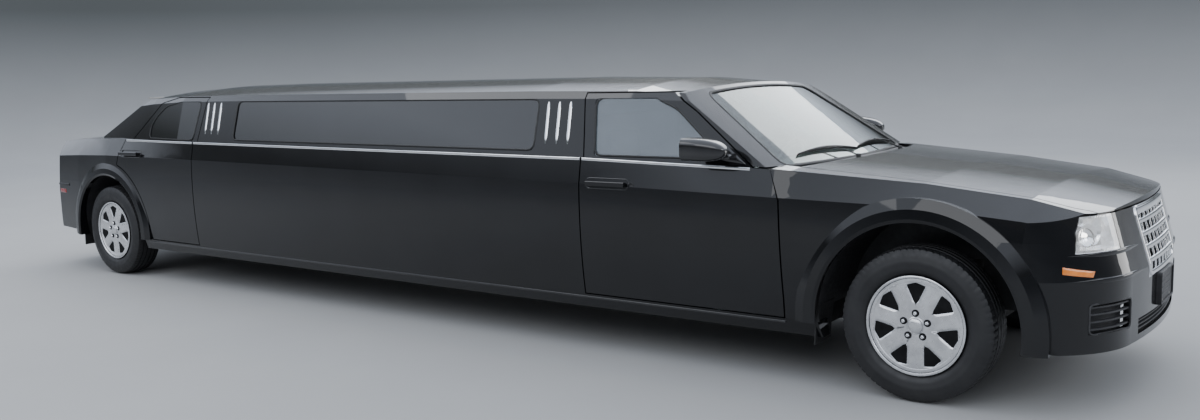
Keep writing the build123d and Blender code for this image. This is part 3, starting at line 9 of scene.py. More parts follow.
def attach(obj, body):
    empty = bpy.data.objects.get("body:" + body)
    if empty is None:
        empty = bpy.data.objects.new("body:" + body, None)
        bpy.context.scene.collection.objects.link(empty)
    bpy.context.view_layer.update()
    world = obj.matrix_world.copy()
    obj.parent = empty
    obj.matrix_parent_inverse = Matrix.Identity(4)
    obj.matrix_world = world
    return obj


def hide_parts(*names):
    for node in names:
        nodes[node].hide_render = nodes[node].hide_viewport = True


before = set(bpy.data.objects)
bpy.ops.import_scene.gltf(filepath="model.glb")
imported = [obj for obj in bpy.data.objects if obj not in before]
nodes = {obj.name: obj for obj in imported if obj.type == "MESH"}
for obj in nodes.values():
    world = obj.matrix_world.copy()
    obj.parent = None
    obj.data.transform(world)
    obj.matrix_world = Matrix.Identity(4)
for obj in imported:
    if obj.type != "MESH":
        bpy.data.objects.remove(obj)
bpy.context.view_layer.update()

frontAxle, rearAxle, wheelHeight = 3.4065, -3.1975, 0.3555   # where the two axles stand, in metres
bothSides = (("right", -1), ("left", 1))
print("limousine: frame loaded,", len(nodes), "nodes")


# mesh tools

# Points with these coordinates, spread over their common grid.
def xyz(x, y, z):
    return np.stack(np.broadcast_arrays(x, y, z), axis=-1)


# Two arrays of a grid: the first span runs along its rows, the second along its columns.
def grid(first, second):
    return np.meshgrid(np.linspace(*first), np.linspace(*second), indexing="ij")


# Faces of a grid: point (i, j) joined with its next neighbours along u and along v.
def gridQuads(nu, nv, closedU=False, closedV=False):
    i, j = np.meshgrid(np.arange(nu if closedU else nu - 1), np.arange(nv if closedV else nv - 1), indexing="ij")
    iNext, jNext = (i + 1) % nu, (j + 1) % nv
    return np.stack([i * nv + j, iNext * nv + j, iNext * nv + jNext, i * nv + jNext], axis=-1).reshape(-1, 4)


# Rows of points joined one to the next, with a face over the first row and one over the last.
def loft(points, closed=False):
    rows, count = points.shape[:2]
    caps = [] if closed else [list(range(count)), list(range((rows - 1) * count, rows * count))]
    return points.reshape(-1, 3), gridQuads(rows, count, closed, True), caps


# Closed section: half width times cos t and half height times sin t, each raised to the squareness.
def ring(width, height, squareness=0.55, count=16):
    t = np.linspace(0, 2 * pi, count, endpoint=False) + pi / count
    across, out = np.cos(t), np.sin(t)
    across = np.sign(across) * np.abs(across) ** squareness
    out = np.sign(out) * np.abs(out) ** squareness
    return np.stack([across * width / 2, out * height / 2], axis=-1)


# A section carried along a path: path + across * side + out * up, where side is the direction crossed with up.
def sweep(path, section, up, closed=False, size=None):
    path = np.asarray(path, float)
    up = np.broadcast_to(np.asarray(up, float), path.shape)
    along = np.roll(path, -1, 0) - np.roll(path, 1, 0) if closed else np.gradient(path, axis=0)
    along = along / np.linalg.norm(along, axis=1, keepdims=True)
    side = np.cross(along, up)
    side = side / np.linalg.norm(side, axis=1, keepdims=True)
    out = np.cross(side, along)
    grow = np.ones(len(path)) if size is None else np.asarray(size, float)
    return loft(path[:, None] + grow[:, None, None] * (
        section[None, :, 0, None] * side[:, None] + section[None, :, 1, None] * out[:, None]), closed)


# A round rod along a path: a circle of the radius carried along it.
def tube(path, radius, count=10, closed=False, size=None):
    path = np.asarray(path, float)
    up = (0.02, 0.03, 1.0) if np.ptp(path[:, 2]) < 0.7 * np.linalg.norm(path[-1] - path[0]) + 1e-6 else (0.03, 1.0,
            0.02)
    return sweep(path, ring(2 * radius, 2 * radius, 1.0, count), up, closed, size)


# Two grids of the same size, joined round their rims into a closed shell.
def slab(top, bottom):
    nu, nv = top.shape[:2]
    index = np.arange(nu * nv).reshape(nu, nv)
    loop = np.concatenate([index[0, :-1], index[:-1, -1], index[-1, :0:-1], index[:0:-1, 0]])
    after = np.roll(loop, -1)
    rim = np.stack([loop, after, after + nu * nv, loop + nu * nv], axis=-1)
    face = gridQuads(nu, nv)
    points = np.concatenate([top.reshape(-1, 3), bottom.reshape(-1, 3)])
    return points, np.concatenate([face, face[:, ::-1] + nu * nv, rim]), []


# Rounded box: half the size less the corner, with the direction's sign, plus the corner times the direction.
def roundedBox(centre, size, corner, turn=None, count=5):
    phi = (np.arange(4 * count) + 0.5) * (pi / 2 / count)
    theta = (np.arange(2 * count) + 0.5) * (pi / 2 / count)
    theta, phi = np.meshgrid(theta, phi, indexing="ij")
    way = xyz(np.sin(theta) * np.cos(phi), np.sin(theta) * np.sin(phi), np.cos(theta))
    half = np.asarray(size, float) / 2
    corner = min(corner, half.min() * 0.98)
    points = np.sign(way) * (half - corner) + corner * way
    if turn is not None:
        points = points @ np.asarray(turn).T
    return loft(points + np.asarray(centre, float))


# A profile of (radius, distance along the axis) turned about it: centre + axis * d + radius * (a cos t + b sin t).
def turned(profile, centre, axis, count=48, closed=False):
    profile = np.asarray(profile, float)
    axis = np.asarray(axis, float) / np.linalg.norm(axis)
    aside = np.cross(axis, (0.0, 0.0, 1.0) if abs(axis[2]) < 0.9 else (1.0, 0.0, 0.0))
    aside = aside / np.linalg.norm(aside)
    beside = np.cross(axis, aside)
    t = np.linspace(0, 2 * pi, count, endpoint=False)
    spoke = np.cos(t)[:, None] * aside + np.sin(t)[:, None] * beside
    points = (np.asarray(centre, float) + profile[None, :, 1, None] * axis
              + profile[None, :, 0, None] * spoke[:, None])
    return points.reshape(-1, 3), gridQuads(count, len(profile), True, closed), []


# Each corner becomes a quadratic curve between two points one corner length before and after it.
def roundCorners(points, corner, closed=True, steps=5):
    points = np.asarray(points, float)
    before, after = np.roll(points, 1, 0), np.roll(points, -1, 0)
    toBefore, toAfter = before - points, after - points
    reachBefore = np.minimum(corner, np.linalg.norm(toBefore, axis=1) / 2.2)
    reachAfter = np.minimum(corner, np.linalg.norm(toAfter, axis=1) / 2.2)
    start = points + toBefore / np.linalg.norm(toBefore, axis=1)[:, None] * reachBefore[:, None]
    end = points + toAfter / np.linalg.norm(toAfter, axis=1)[:, None] * reachAfter[:, None]
    t = np.linspace(0, 1, steps)[None, :, None]
    curve = (1 - t) ** 2 * start[:, None] + 2 * t * (1 - t) * points[:, None] + t ** 2 * end[:, None]
    if not closed:
        curve[0], curve[-1] = points[0], points[-1]
    return curve.reshape(-1, points.shape[1])


# Points at equal arc lengths along a path, by interpolation on its summed length.
def evenly(path, step, closed=False):
    path = np.asarray(path, float)
    if closed:
        path = np.concatenate([path, path[:1]])
    length = np.concatenate([[0], np.cumsum(np.linalg.norm(np.diff(path, axis=0), axis=1))])
    count = max(3, int(round(length[-1] / step)) + 1)
    at = np.linspace(0, length[-1], count)
    out = np.stack([np.interp(at, length, path[:, k]) for k in range(path.shape[1])], axis=-1)
    return out[:-1] if closed else out


triangleCache = {}


# The corners of a CAD node's triangles, as one array.
def nodeTriangles(name):
    if name not in triangleCache:
        mesh = nodes[name].data
        mesh.calc_loop_triangles()
        places = np.empty(len(mesh.vertices) * 3, np.float32)
        mesh.vertices.foreach_get("co", places)
        corners = np.empty(len(mesh.loop_triangles) * 3, np.int32)
        mesh.loop_triangles.foreach_get("vertices", corners)
        triangleCache[name] = places.reshape(-1, 3)[corners.reshape(-1, 3)].astype(float)
    return triangleCache[name]


# Where lines along an axis meet the nodes: each corner's height weighted by the small triangle opposite it.
def surfaceAt(names, first, second, axis, far=1):
    rest = [k for k in range(3) if k != axis]
    p = np.stack([np.ravel(first), np.ravel(second)], axis=-1).astype(float)
    corners = np.concatenate([nodeTriangles(n) for n in names])
    flat = corners[:, :, rest]
    keep = (flat.max(1) >= p.min(0) - 1e-6).all(1) & (flat.min(1) <= p.max(0) + 1e-6).all(1)
    corners, flat = corners[keep], flat[keep]
    edge = [flat[None, :, k] - p[:, None] for k in range(3)]
    weight = [edge[(k + 1) % 3][..., 0] * edge[(k + 2) % 3][..., 1]
              - edge[(k + 1) % 3][..., 1] * edge[(k + 2) % 3][..., 0] for k in range(3)]
    area = sum(weight)
    safe = np.where(np.abs(area) < 1e-12, 1.0, area)
    inside = (np.abs(area) > 1e-12) & np.all([w / safe >= -1e-5 for w in weight], axis=0)
    height = sum(w / safe * corners[None, :, k, axis] for k, w in enumerate(weight))
    height = np.where(inside, height, -np.inf * far)
    value = height.max(1) if far > 0 else height.min(1)
    found = np.isfinite(value)
    value = np.interp(np.arange(len(value)), np.flatnonzero(found), value[found])
    return value.reshape(np.shape(first))


# The part on the other side of the car where side is 1: y becomes -y.
def mirrorPart(part, side):
    points, quads, caps = part
    return (points * np.array([1.0, -side, 1.0]), quads, caps)


# Points a mesh's faces outwards, after closing its seams where it has them.
def outward(mesh, seams=False):
    work = bmesh.new()
    work.from_mesh(mesh)
    if seams:
        bmesh.ops.remove_doubles(work, verts=work.verts, dist=2e-6)
        bmesh.ops.dissolve_degenerate(work, edges=work.edges, dist=1e-6)
    bmesh.ops.recalc_face_normals(work, faces=work.faces)
    work.to_mesh(mesh)
    work.free()


# An object of the scene that holds the data.
def addObject(name, data):
    made = bpy.data.objects.new(name, data)
    bpy.context.scene.collection.objects.link(made)
    return made


# Joins parts into one mesh with its finish, lets it ride on its body and hides the node it replaces; the slot it is
# given is not used.
def makePiece(name, parts, finish, body="car_body", slot=None, replaces=None, sharp=40.0, bevel=0.0, levels=0):
    shift, places, faces = 0, [], []
    for points, quads, caps in parts:
        places.append(points)
        faces += (quads + shift).tolist() + [[k + shift for k in cap] for cap in caps]
        shift += len(points)
    mesh = bpy.data.meshes.new(name)
    mesh.from_pydata(np.concatenate(places), [], faces)
    outward(mesh, seams=True)
    mesh.polygons.foreach_set("use_smooth", np.ones(len(mesh.polygons), bool))
    mesh.set_sharp_from_angle(angle=radians(sharp))
    mesh.materials.append(finishes[finish])
    piece = addObject(name, mesh)
    if bevel:
        edge = piece.modifiers.new("bevel", "BEVEL")
        edge.width, edge.segments, edge.limit_method, edge.angle_limit = bevel, 2, "ANGLE", radians(35)
    if levels:
        smooth = piece.modifiers.new("smooth", "SUBSURF")
        smooth.levels = smooth.render_levels = levels
    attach(piece, body)
    if replaces:
        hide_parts(replaces)
    return piece


# A piece on the right side and its mirror image on the left: {} in the body or the node is the side's name.
def makePair(name, parts, finish, body="car_body", slot=None, replaces="", **shape):
    for sideName, side in bothSides:
        makePiece(f"{name}.{sideName}", [mirrorPart(part, side) for part in parts], finish, body.format(sideName),
                  slot, replaces.format(sideName), **shape)


# finishes

# A shader node with its settings; each socket takes a value, or a link from another node's output.
def addNode(tree, kind, sockets, **settings):
    node = tree.nodes.new("ShaderNode" + kind)
    for name, value in settings.items():
        setattr(node, name, value)
    for name, value in sockets.items():
        if isinstance(value, bpy.types.NodeSocket):
            tree.links.new(value, node.inputs[name])
        else:
            node.inputs[name].default_value = value
    return node


# Colour runs between two shades with one noise, roughness between two values with another, and a bump follows the
# grain. Dust adds a third shade below a height, weighted by (top - z) / (top - bottom) times the noise.
def makeFinish(name, look):
    material = bpy.data.materials.new(name)
    material.use_nodes = True
    tree = material.node_tree
    shader = tree.nodes["Principled BSDF"]
    place = addNode(tree, "TexCoord", {}).outputs["Object"]
    spread = addNode(tree, "Mapping", {"Scale": look.get("stretch", (1, 1, 1)), "Vector": place}).outputs["Vector"]
    if "woodScale" in look:
        shade = addNode(tree, "TexWave", {"Scale": look["woodScale"], "Distortion": 7.0, "Detail": 3.0,
                                          "Vector": spread}, wave_type="BANDS", bands_direction="Z")
    else:
        shade = addNode(tree, "TexNoise", {"Scale": look.get("shadeScale", 6.0), "Detail": 6.0, "Roughness": 0.6,
                                           "Vector": spread})
    ramp = addNode(tree, "ValToRGB", {"Fac": shade.outputs["Fac"]})
    for stop, at, colour in zip(ramp.color_ramp.elements, look.get("span", (0.35, 0.65)),
                                (look["dark"], look["light"])):
        stop.position, stop.color = at, (*colour, 1)
    colour = ramp.outputs["Color"]
    finer = addNode(tree, "TexNoise", {"Scale": look.get("roughScale", 14.0), "Detail": 5.0, "Vector": spread}).outputs["Fac"]
    low, high = look["rough"]
    roughness = addNode(tree, "MapRange", {"From Min": 0.3, "From Max": 0.7, "To Min": low, "To Max": high,
                                           "Value": finer}).outputs["Result"]
    if "dust" in look:
        bottom, top, dustShade, amount = look["dust"]
        height = addNode(tree, "SeparateXYZ", {"Vector": place}).outputs["Z"]
        low = addNode(tree, "MapRange", {"From Min": top, "From Max": bottom, "To Max": amount, "Value": height})
        weight = addNode(tree, "Math", {0: low.outputs["Result"], 1: finer}, operation="MULTIPLY").outputs["Value"]
        colour = addNode(tree, "Mix", {"Factor": weight, "A": colour, "B": (*dustShade, 1)},
                         data_type="RGBA").outputs["Result"]
        roughness = addNode(tree, "Math", {0: roughness, 1: weight}, operation="ADD",
                            use_clamp=True).outputs["Value"]
    sockets = {"Base Color": colour, "Roughness": roughness, **look.get("sockets", {})}
    if "grain" in look:
        kind, scale, strength, depth = look["grain"]
        node, settings, detail, out = {
            "cells": ("TexVoronoi", {}, {}, "Distance"),
            "ribs": ("TexWave", {"wave_type": "BANDS", "bands_direction": look.get("ribAxis", "Y")}, {}, "Fac"),
            "rings": ("TexWave", {"wave_type": "RINGS", "rings_direction": "Y"}, {}, "Fac"),
            "fine": ("TexNoise", {}, {"Detail": 3.0}, "Fac")}[kind]
        grain = addNode(tree, node, {"Scale": scale, "Vector": spread, **detail}, **settings)
        sockets["Normal"] = addNode(tree, "Bump", {"Strength": strength, "Distance": depth,
                                                   "Height": grain.outputs[out]}).outputs["Normal"]
    for name, value in sockets.items():
        if isinstance(value, bpy.types.NodeSocket):
            tree.links.new(value, shader.inputs[name])
        else:
            shader.inputs[name].default_value = value
    return material


finishLooks = {
    "blackPaint": {"dark": (0.0022, 0.0023, 0.0030), "light": (0.004, 0.0042, 0.0052), "shadeScale": 3.0,
                   "rough": (0.3, 0.42), "roughScale": 9.0, "grain": ("fine", 420.0, 0.04, 0.0003),
                   "dust": (0.22, 0.46, (0.045, 0.042, 0.038), 0.10),
                   "sockets": {"Coat Weight": 1.0, "Coat Roughness": 0.02, "Coat IOR": 1.46,
                               "Specular IOR Level": 0.06}},
    "darkGlass": {"dark": (0.012, 0.014, 0.016), "light": (0.02, 0.022, 0.025), "shadeScale": 2.0,
                  "rough": (0.015, 0.05), "roughScale": 5.0,
                  "sockets": {"Transmission Weight": 0.6, "IOR": 1.5, "Coat Weight": 0.6, "Coat Roughness": 0.01}},
    # doorGlassPaintedReflection: its light grey-blue colour is a painted reflection of the sky on the front door
    # glass.
    "doorGlassPaintedReflection": {"dark": (0.22, 0.26, 0.29), "light": (0.29, 0.33, 0.36), "shadeScale": 2.0,
                  "rough": (0.01, 0.04), "roughScale": 6.0,
                  "sockets": {"Transmission Weight": 0.6, "IOR": 1.5, "Coat Weight": 0.6, "Coat Roughness": 0.01}},
    "screenGlass": {"dark": (0.62, 0.72, 0.69), "light": (0.7, 0.79, 0.76), "shadeScale": 2.0,
                    "rough": (0.0, 0.03), "roughScale": 7.0, "sockets": {"Transmission Weight": 1.0, "IOR": 1.45}},
    "brightChrome": {"dark": (0.78, 0.79, 0.81), "light": (0.9, 0.91, 0.92), "shadeScale": 11.0,
                     "rough": (0.04, 0.13), "roughScale": 40.0, "sockets": {"Metallic": 1.0}},
    "rimMetal": {"dark": (0.58, 0.58, 0.59), "light": (0.76, 0.77, 0.78), "shadeScale": 14.0,
                 "rough": (0.24, 0.4), "roughScale": 60.0, "grain": ("fine", 900.0, 0.08, 0.0004),
                 "sockets": {"Metallic": 0.85, "Coat Weight": 0.3, "Coat Roughness": 0.12}},
    "tyreRubber": {"dark": (0.008, 0.008, 0.009), "light": (0.015, 0.015, 0.016), "shadeScale": 9.0,
                   "rough": (0.46, 0.62), "roughScale": 30.0, "grain": ("fine", 700.0, 0.2, 0.0005),
                   "dust": (0.0, 0.09, (0.07, 0.065, 0.058), 0.22)},
    "sealRubber": {"dark": (0.008, 0.008, 0.008), "light": (0.016, 0.016, 0.016), "shadeScale": 30.0,
                   "rough": (0.5, 0.68), "roughScale": 80.0, "grain": ("fine", 900.0, 0.15, 0.0004)},
    "blackPlastic": {"dark": (0.014, 0.014, 0.015), "light": (0.026, 0.026, 0.028), "shadeScale": 18.0,
                     "rough": (0.42, 0.6), "roughScale": 60.0, "grain": ("cells", 900.0, 0.16, 0.0005)},
    "glossPlastic": {"dark": (0.008, 0.008, 0.009), "light": (0.014, 0.014, 0.015), "shadeScale": 16.0,
                     "rough": (0.12, 0.24), "roughScale": 30.0, "grain": ("fine", 500.0, 0.06, 0.0003),
                     "sockets": {"Coat Weight": 0.5, "Coat Roughness": 0.05}},
    "seatLeather": {"dark": (0.014, 0.013, 0.013), "light": (0.03, 0.028, 0.027), "shadeScale": 9.0,
                    "rough": (0.36, 0.52), "roughScale": 28.0, "grain": ("cells", 420.0, 0.3, 0.0009),
                    "sockets": {"Sheen Weight": 0.12, "Sheen Roughness": 0.5}},
    "stitchThread": {"dark": (0.18, 0.17, 0.15), "light": (0.3, 0.29, 0.26), "shadeScale": 300.0,
                     "rough": (0.7, 0.9), "roughScale": 300.0, "grain": ("ribs", 260.0, 0.5, 0.0004)},
    "carpet": {"dark": (0.012, 0.012, 0.013), "light": (0.04, 0.04, 0.042), "shadeScale": 160.0,
               "rough": (0.88, 1.0), "roughScale": 200.0, "grain": ("fine", 520.0, 0.9, 0.003),
               "sockets": {"Sheen Weight": 0.3, "Sheen Roughness": 0.6}},
    "headlining": {"dark": (0.2, 0.19, 0.175), "light": (0.3, 0.285, 0.26), "shadeScale": 90.0,
                   "rough": (0.85, 1.0), "roughScale": 150.0, "grain": ("fine", 640.0, 0.5, 0.0015),
                   "sockets": {"Sheen Weight": 0.25, "Sheen Roughness": 0.6}},
    "fireWallPad": {"dark": (0.012, 0.012, 0.012), "light": (0.028, 0.028, 0.027), "shadeScale": 40.0,
                       "rough": (0.8, 0.95), "roughScale": 60.0, "grain": ("cells", 60.0, 0.5, 0.004)},
    "cabinetWood": {"dark": (0.028, 0.012, 0.006), "light": (0.1, 0.045, 0.02),
                    "woodScale": 7.0, "stretch": (0.5, 3, 2.2), "span": (0.15, 0.9),
                    "rough": (0.14, 0.26), "roughScale": 20.0, "grain": ("fine", 300.0, 0.08, 0.0004),
                    "sockets": {"Coat Weight": 0.8, "Coat Roughness": 0.06}},
    "underSteel": {"dark": (0.014, 0.013, 0.012), "light": (0.048, 0.040, 0.034), "shadeScale": 9.0,
                   "span": (0.48, 0.82), "rough": (0.55, 0.9), "roughScale": 26.0,
                   "grain": ("fine", 130.0, 0.35, 0.002)},
    "castMetal": {"dark": (0.2, 0.195, 0.19), "light": (0.38, 0.375, 0.36), "shadeScale": 16.0,
                  "rough": (0.42, 0.62), "roughScale": 40.0, "grain": ("fine", 240.0, 0.4, 0.0015),
                  "sockets": {"Metallic": 0.8}},
    "pipeSteel": {"dark": (0.2, 0.17, 0.14), "light": (0.42, 0.39, 0.35), "shadeScale": 7.0,
                  "rough": (0.3, 0.55), "roughScale": 30.0, "grain": ("fine", 160.0, 0.2, 0.001),
                  "sockets": {"Metallic": 0.9}},
    "clearLens": {"dark": (0.97, 0.98, 0.99), "light": (1.0, 1.0, 1.0), "shadeScale": 8.0,
                  "rough": (0.0, 0.04), "roughScale": 12.0, "sockets": {"Transmission Weight": 1.0, "IOR": 1.35}},
    # lampMirrorPaintedGlow: a reflector with a faint white emission, a painted glow that brightens the headlamp
    # bowls, the headlamps node and the reverse lamps.
    "lampMirrorPaintedGlow": {"dark": (0.74, 0.75, 0.77), "light": (0.9, 0.91, 0.92), "shadeScale": 30.0,
                   "rough": (0.14, 0.26), "roughScale": 50.0, "grain": ("ribs", 34.0, 0.35, 0.002),
                   "sockets": {"Metallic": 1.0, "Emission Strength": 0.22, "Emission Color": (1.0, 1.0, 1.0, 1.0)}},
    "redLens": {"dark": (0.26, 0.004, 0.006), "light": (0.42, 0.01, 0.012), "shadeScale": 12.0,
                "rough": (0.05, 0.13), "roughScale": 30.0, "grain": ("ribs", 60.0, 0.5, 0.0012), "ribAxis": "Z",
                "sockets": {"Coat Weight": 1.0, "Coat Roughness": 0.03, "Transmission Weight": 0.25}},
    "amberLens": {"dark": (0.62, 0.16, 0.02), "light": (0.86, 0.27, 0.05), "shadeScale": 14.0,
                  "rough": (0.05, 0.13), "roughScale": 30.0, "grain": ("ribs", 90.0, 0.5, 0.001),
                  "ribAxis": "X", "sockets": {"Coat Weight": 1.0, "Coat Roughness": 0.03}},
    "mirrorGlass": {"dark": (0.7, 0.73, 0.76), "light": (0.8, 0.83, 0.85), "shadeScale": 5.0,
                    "rough": (0.0, 0.03), "roughScale": 18.0, "sockets": {"Metallic": 1.0}},
    "platePaint": {"dark": (0.6, 0.61, 0.62), "light": (0.74, 0.75, 0.75), "shadeScale": 16.0,
                   "rough": (0.3, 0.46), "roughScale": 40.0, "grain": ("fine", 260.0, 0.12, 0.0004)},
    "dialFace": {"dark": (0.5, 0.51, 0.5), "light": (0.68, 0.69, 0.67), "shadeScale": 60.0,
                 "rough": (0.35, 0.5), "roughScale": 60.0, "grain": ("rings", 60.0, 0.1, 0.0004)},
    "lampGlow": {"dark": (0.85, 0.86, 0.88), "light": (0.95, 0.95, 0.96), "shadeScale": 20.0, "rough": (0.1, 0.2),
                 "sockets": {"Emission Strength": 5.0, "Emission Color": (1.0, 0.98, 0.94, 1.0)}},
    # rimBarrelPaintedShade: near-black, painted shade for the inside of the wheels: the CAD rims with their discs,
    # the knuckles and the nut seats.
    "rimBarrelPaintedShade": {"dark": (0.003, 0.003, 0.0035), "light": (0.008, 0.008, 0.0085), "shadeScale": 18.0,
                  "rough": (0.6, 0.8), "roughScale": 60.0, "grain": ("fine", 600.0, 0.15, 0.0006),
                  "sockets": {"Specular IOR Level": 0.15}},
    "dashSkin": {"dark": (0.018, 0.018, 0.019), "light": (0.034, 0.034, 0.036), "shadeScale": 12.0,
                 "rough": (0.5, 0.68), "roughScale": 40.0, "grain": ("cells", 520.0, 0.3, 0.0007),
                 "sockets": {"Sheen Weight": 0.08}},
    "drinkGlass": {"dark": (0.86, 0.9, 0.9), "light": (0.95, 0.97, 0.97), "shadeScale": 20.0,
                   "rough": (0.0, 0.03), "roughScale": 30.0, "sockets": {"Transmission Weight": 1.0, "IOR": 1.45}},
    "glowStrip": {"dark": (0.35, 0.36, 0.5), "light": (0.5, 0.52, 0.7), "shadeScale": 20.0, "rough": (0.3, 0.4),
                  "sockets": {"Emission Strength": 0.6, "Emission Color": (0.5, 0.55, 1.0, 1.0)}},
}
finishes = {name: makeFinish(name, look) for name, look in finishLooks.items()}

nodeFinishes = {"blackPaint": ["front_door_right", "front_door_left", "rear_door_right", "rear_door_left", "bonnet",
                               "boot_lid", "roof_panel", "side_panels", "front_bumper", "rear_bumper", "front_wings",
                               "rear_quarters", "sills"], "glossPlastic": ["mirror_right", "mirror_left",
        "plate_bracket"], "darkGlass": ["side_windows", "rear_window", "rear_door_glass_right",
                                        "rear_door_glass_left"], "doorGlassPaintedReflection": ["front_door_glass_right",
        "front_door_glass_left"], "screenGlass": ["windscreen"], "clearLens": ["headlamp_lenses"],
                "lampMirrorPaintedGlow": ["headlamps"], "redLens": ["tail_lamps"], "brightChrome": ["grille"],
                "rimBarrelPaintedShade": ["knuckle_right", "knuckle_left", "front_rim_right", "front_rim_left", "rear_rim_right",
                              "rear_rim_left"], "castMetal": ["engine_block", "radiator"],
                "underSteel": ["front_subframe", "rear_subframe", "floor_pan"], "fireWallPad": ["fire_wall"],
                "pipeSteel": ["exhaust"], "blackPlastic": ["cowl_panel", "front_wheelhouses", "rear_wheelhouses",
                                                           "fuel_tank", "dashboard"], "carpet": ["partition"],
                "cabinetWood": ["bar_cabinet"],}
for finishName, nodeNames in nodeFinishes.items():
    for nodeName in nodeNames:
        node = nodes[nodeName]
        for slot in node.material_slots:
            slot.material = finishes[finishName]
        if not node.material_slots:
            node.data.materials.append(finishes[finishName])
print("limousine: finishes ready,", len(finishes))


# wheels

tyreValues = {"radius": 0.3555, "halfWidth": 0.1105, "bead": 0.2325, "beadHalf": 0.0895, "bulgeRadius": 0.288,
              "blocks": 72, "grooveDepth": 0.0075, "grooveWidth": 0.0085, "grooves": (-0.052, -0.018, 0.018, 0.052),
              "sipeDepth": 0.0045, "steps": 5}


# Tyre section turned about the axle. Radius = crowned tread less the ring grooves less the sipes, which are cut where
# the block phase, shifted by a slope across the tread, lies under a fifth of a block.
def tyrePart(axleX, side, values):
    edge = values["grooveWidth"] / 2
    shoulder = 0.0905
    marks = [-shoulder]
    for g in values["grooves"]:
        marks += [g - edge - 0.0012, g - edge + 0.0004, g, g + edge - 0.0004, g + edge + 0.0012]
    marks.append(shoulder)
    marks = np.array(marks)
    tread = np.unique(np.concatenate([marks, (marks[:-1] + marks[1:]) / 2, [-0.078, -0.067, 0.067, 0.078]]))
    treadRadius = values["radius"] - 0.009 * (tread / shoulder) ** 2 * np.abs(tread / shoulder)
    inGroove = np.min(np.abs(tread[:, None] - np.array(values["grooves"])[None]), axis=1) < edge
    treadRadius = treadRadius - values["grooveDepth"] * inGroove
    t = np.linspace(0, 1, 15)[1:]
    wallRadius = values["radius"] - 0.009 - (values["radius"] - 0.009 - values["bead"]) * t
    bulge = np.interp(t, [0, 0.18, 0.5, 0.8, 1.0], [shoulder, 0.1015, values["halfWidth"] - 0.0005, 0.104,
                                                    values["beadHalf"]])
    ribs = 0.0009 * np.exp(-((t - 0.9) / 0.03) ** 2) + 0.0007 * np.exp(-((t - 0.3) / 0.02) ** 2)
    bulge = np.minimum(bulge + ribs, values["halfWidth"])
    inside = np.array([[0.2325, 0.078], [0.26, 0.087], [0.3, 0.094], [0.334, 0.078], [0.334, 0.0],
                       [0.334, -0.078], [0.3, -0.094], [0.26, -0.087], [0.2325, -0.078]])
    y = np.concatenate([-bulge[::-1], tread, bulge, inside[:, 1]])
    r = np.concatenate([wallRadius[::-1], treadRadius, wallRadius, inside[:, 0]])
    isTread = np.concatenate([np.zeros(14), np.ones(len(tread)), np.zeros(14 + len(inside))])
    isTread[11:14], isTread[14 + len(tread):17 + len(tread)] = 0.6, 0.6
    count = values["blocks"] * values["steps"]
    u = np.arange(count)
    angle = 2 * pi * u / count
    phase = (u[:, None] / values["steps"] + np.abs(y)[None] * 14.0 + 0.5 * (np.abs(y)[None] > 0.035)) % 1.0
    cut = (phase < 0.2) * (np.abs(y)[None] > 0.056) + 0.45 * (phase < 0.14) * (np.abs(y)[None] <= 0.047)
    depth = values["sipeDepth"] * cut * isTread[None]
    wall = isTread[None] == 0.6
    radius = r[None] - depth * ~wall
    yy = y[None] - np.sign(y)[None] * depth * wall * 0.45 + 0 * radius
    points = xyz(axleX + radius * np.cos(angle)[:, None], side * 0.8 + yy, wheelHeight + radius * np.sin(angle)[:,
            None])
    return points.reshape(-1, 3), gridQuads(count, len(y), True, True), []


wheelValues = {"face": 0.886, "lugCircle": 0.0575, "lugRadius": 0.0105, "capRadius": 0.034, "spokes": 7,
               "spokeRise": 0.0062,
               "window": ([0.100, 0.107, 0.118, 0.184, 0.193, 0.1965], [0.0, 0.0075, 0.0125, 0.0415, 0.040, 0.0])}


# Seven crowned plates over the spokes: width grows with the radius, and the rise is (1 - across^4) times sin of the
# way out, so a plate meets the rim at its edge.
def spokeParts(axleX, side, values):
    out = np.linspace(0.0, 1.0, 21)[:, None]
    across = np.linspace(-1, 1, 13)[None]
    radius = 0.040 + (0.2145 - 0.040) * out
    windowHalf = np.interp(radius, *values["window"])
    step = pi / values["spokes"]
    halfAngle = step - np.arcsin(np.clip(windowHalf / radius, 0, 0.6)) - 0.0012 / radius * (windowHalf > 0.001)
    inWindow = np.clip(windowHalf / 0.012, 0, 1)
    rise = values["spokeRise"] * (1 - inWindow * np.abs(across) ** 8) * (0.6 + 0.4 * np.sin(pi * out))
    parts = []
    for k in range(values["spokes"]):
        angle = -pi / 2 + 2 * pi * k / values["spokes"] + across * halfAngle
        x = axleX + radius * np.cos(angle)
        z = wheelHeight + radius * np.sin(angle)
        top = xyz(x, side * (values["face"] + rise), z)
        bottom = xyz(x, side * (values["face"] - 0.004), z)
        parts.append(slab(top, bottom))
    return parts


# Lip ring, centre cap and valve as turned profiles.
def wheelTrimParts(axleX, side, values):
    centre, axis = (axleX, 0, wheelHeight), (0, side, 0)
    lip = [(0.2165, 0.893), (0.2195, 0.8978), (0.2240, 0.8988), (0.2280, 0.8975), (0.2285, 0.894), (0.221, 0.889)]
    lip = [(r, y + 0.0012) for r, y in lip]
    cap = [(0.0002, 0.9055), (0.016, 0.9048), (0.027, 0.902), (0.0325, 0.8985), (0.034, 0.894), (0.034, 0.886),
           (0.0002, 0.886)]
    ringProfile = [(0.034, 0.8905), (0.0375, 0.8925), (0.0405, 0.8905), (0.0405, 0.886), (0.034, 0.886)]
    band = [(0.196, 0.8875), (0.2005, 0.8925), (0.209, 0.8932), (0.2165, 0.891), (0.2165, 0.886), (0.196, 0.886)]
    parts = [turned(profile, centre, axis, 96, True) for profile in (lip, band)]
    parts += [turned(cap, centre, axis, 48), turned(ringProfile, centre, axis, 48, True)]
    valve = (axleX + 0.198 * cos(2.1), 0, wheelHeight + 0.198 * sin(2.1))
    parts.append(turned([(0.0002, 0.899), (0.0035, 0.899), (0.0042, 0.897), (0.0042, 0.875), (0.0002, 0.875)], valve,
                        axis, 14))
    return parts
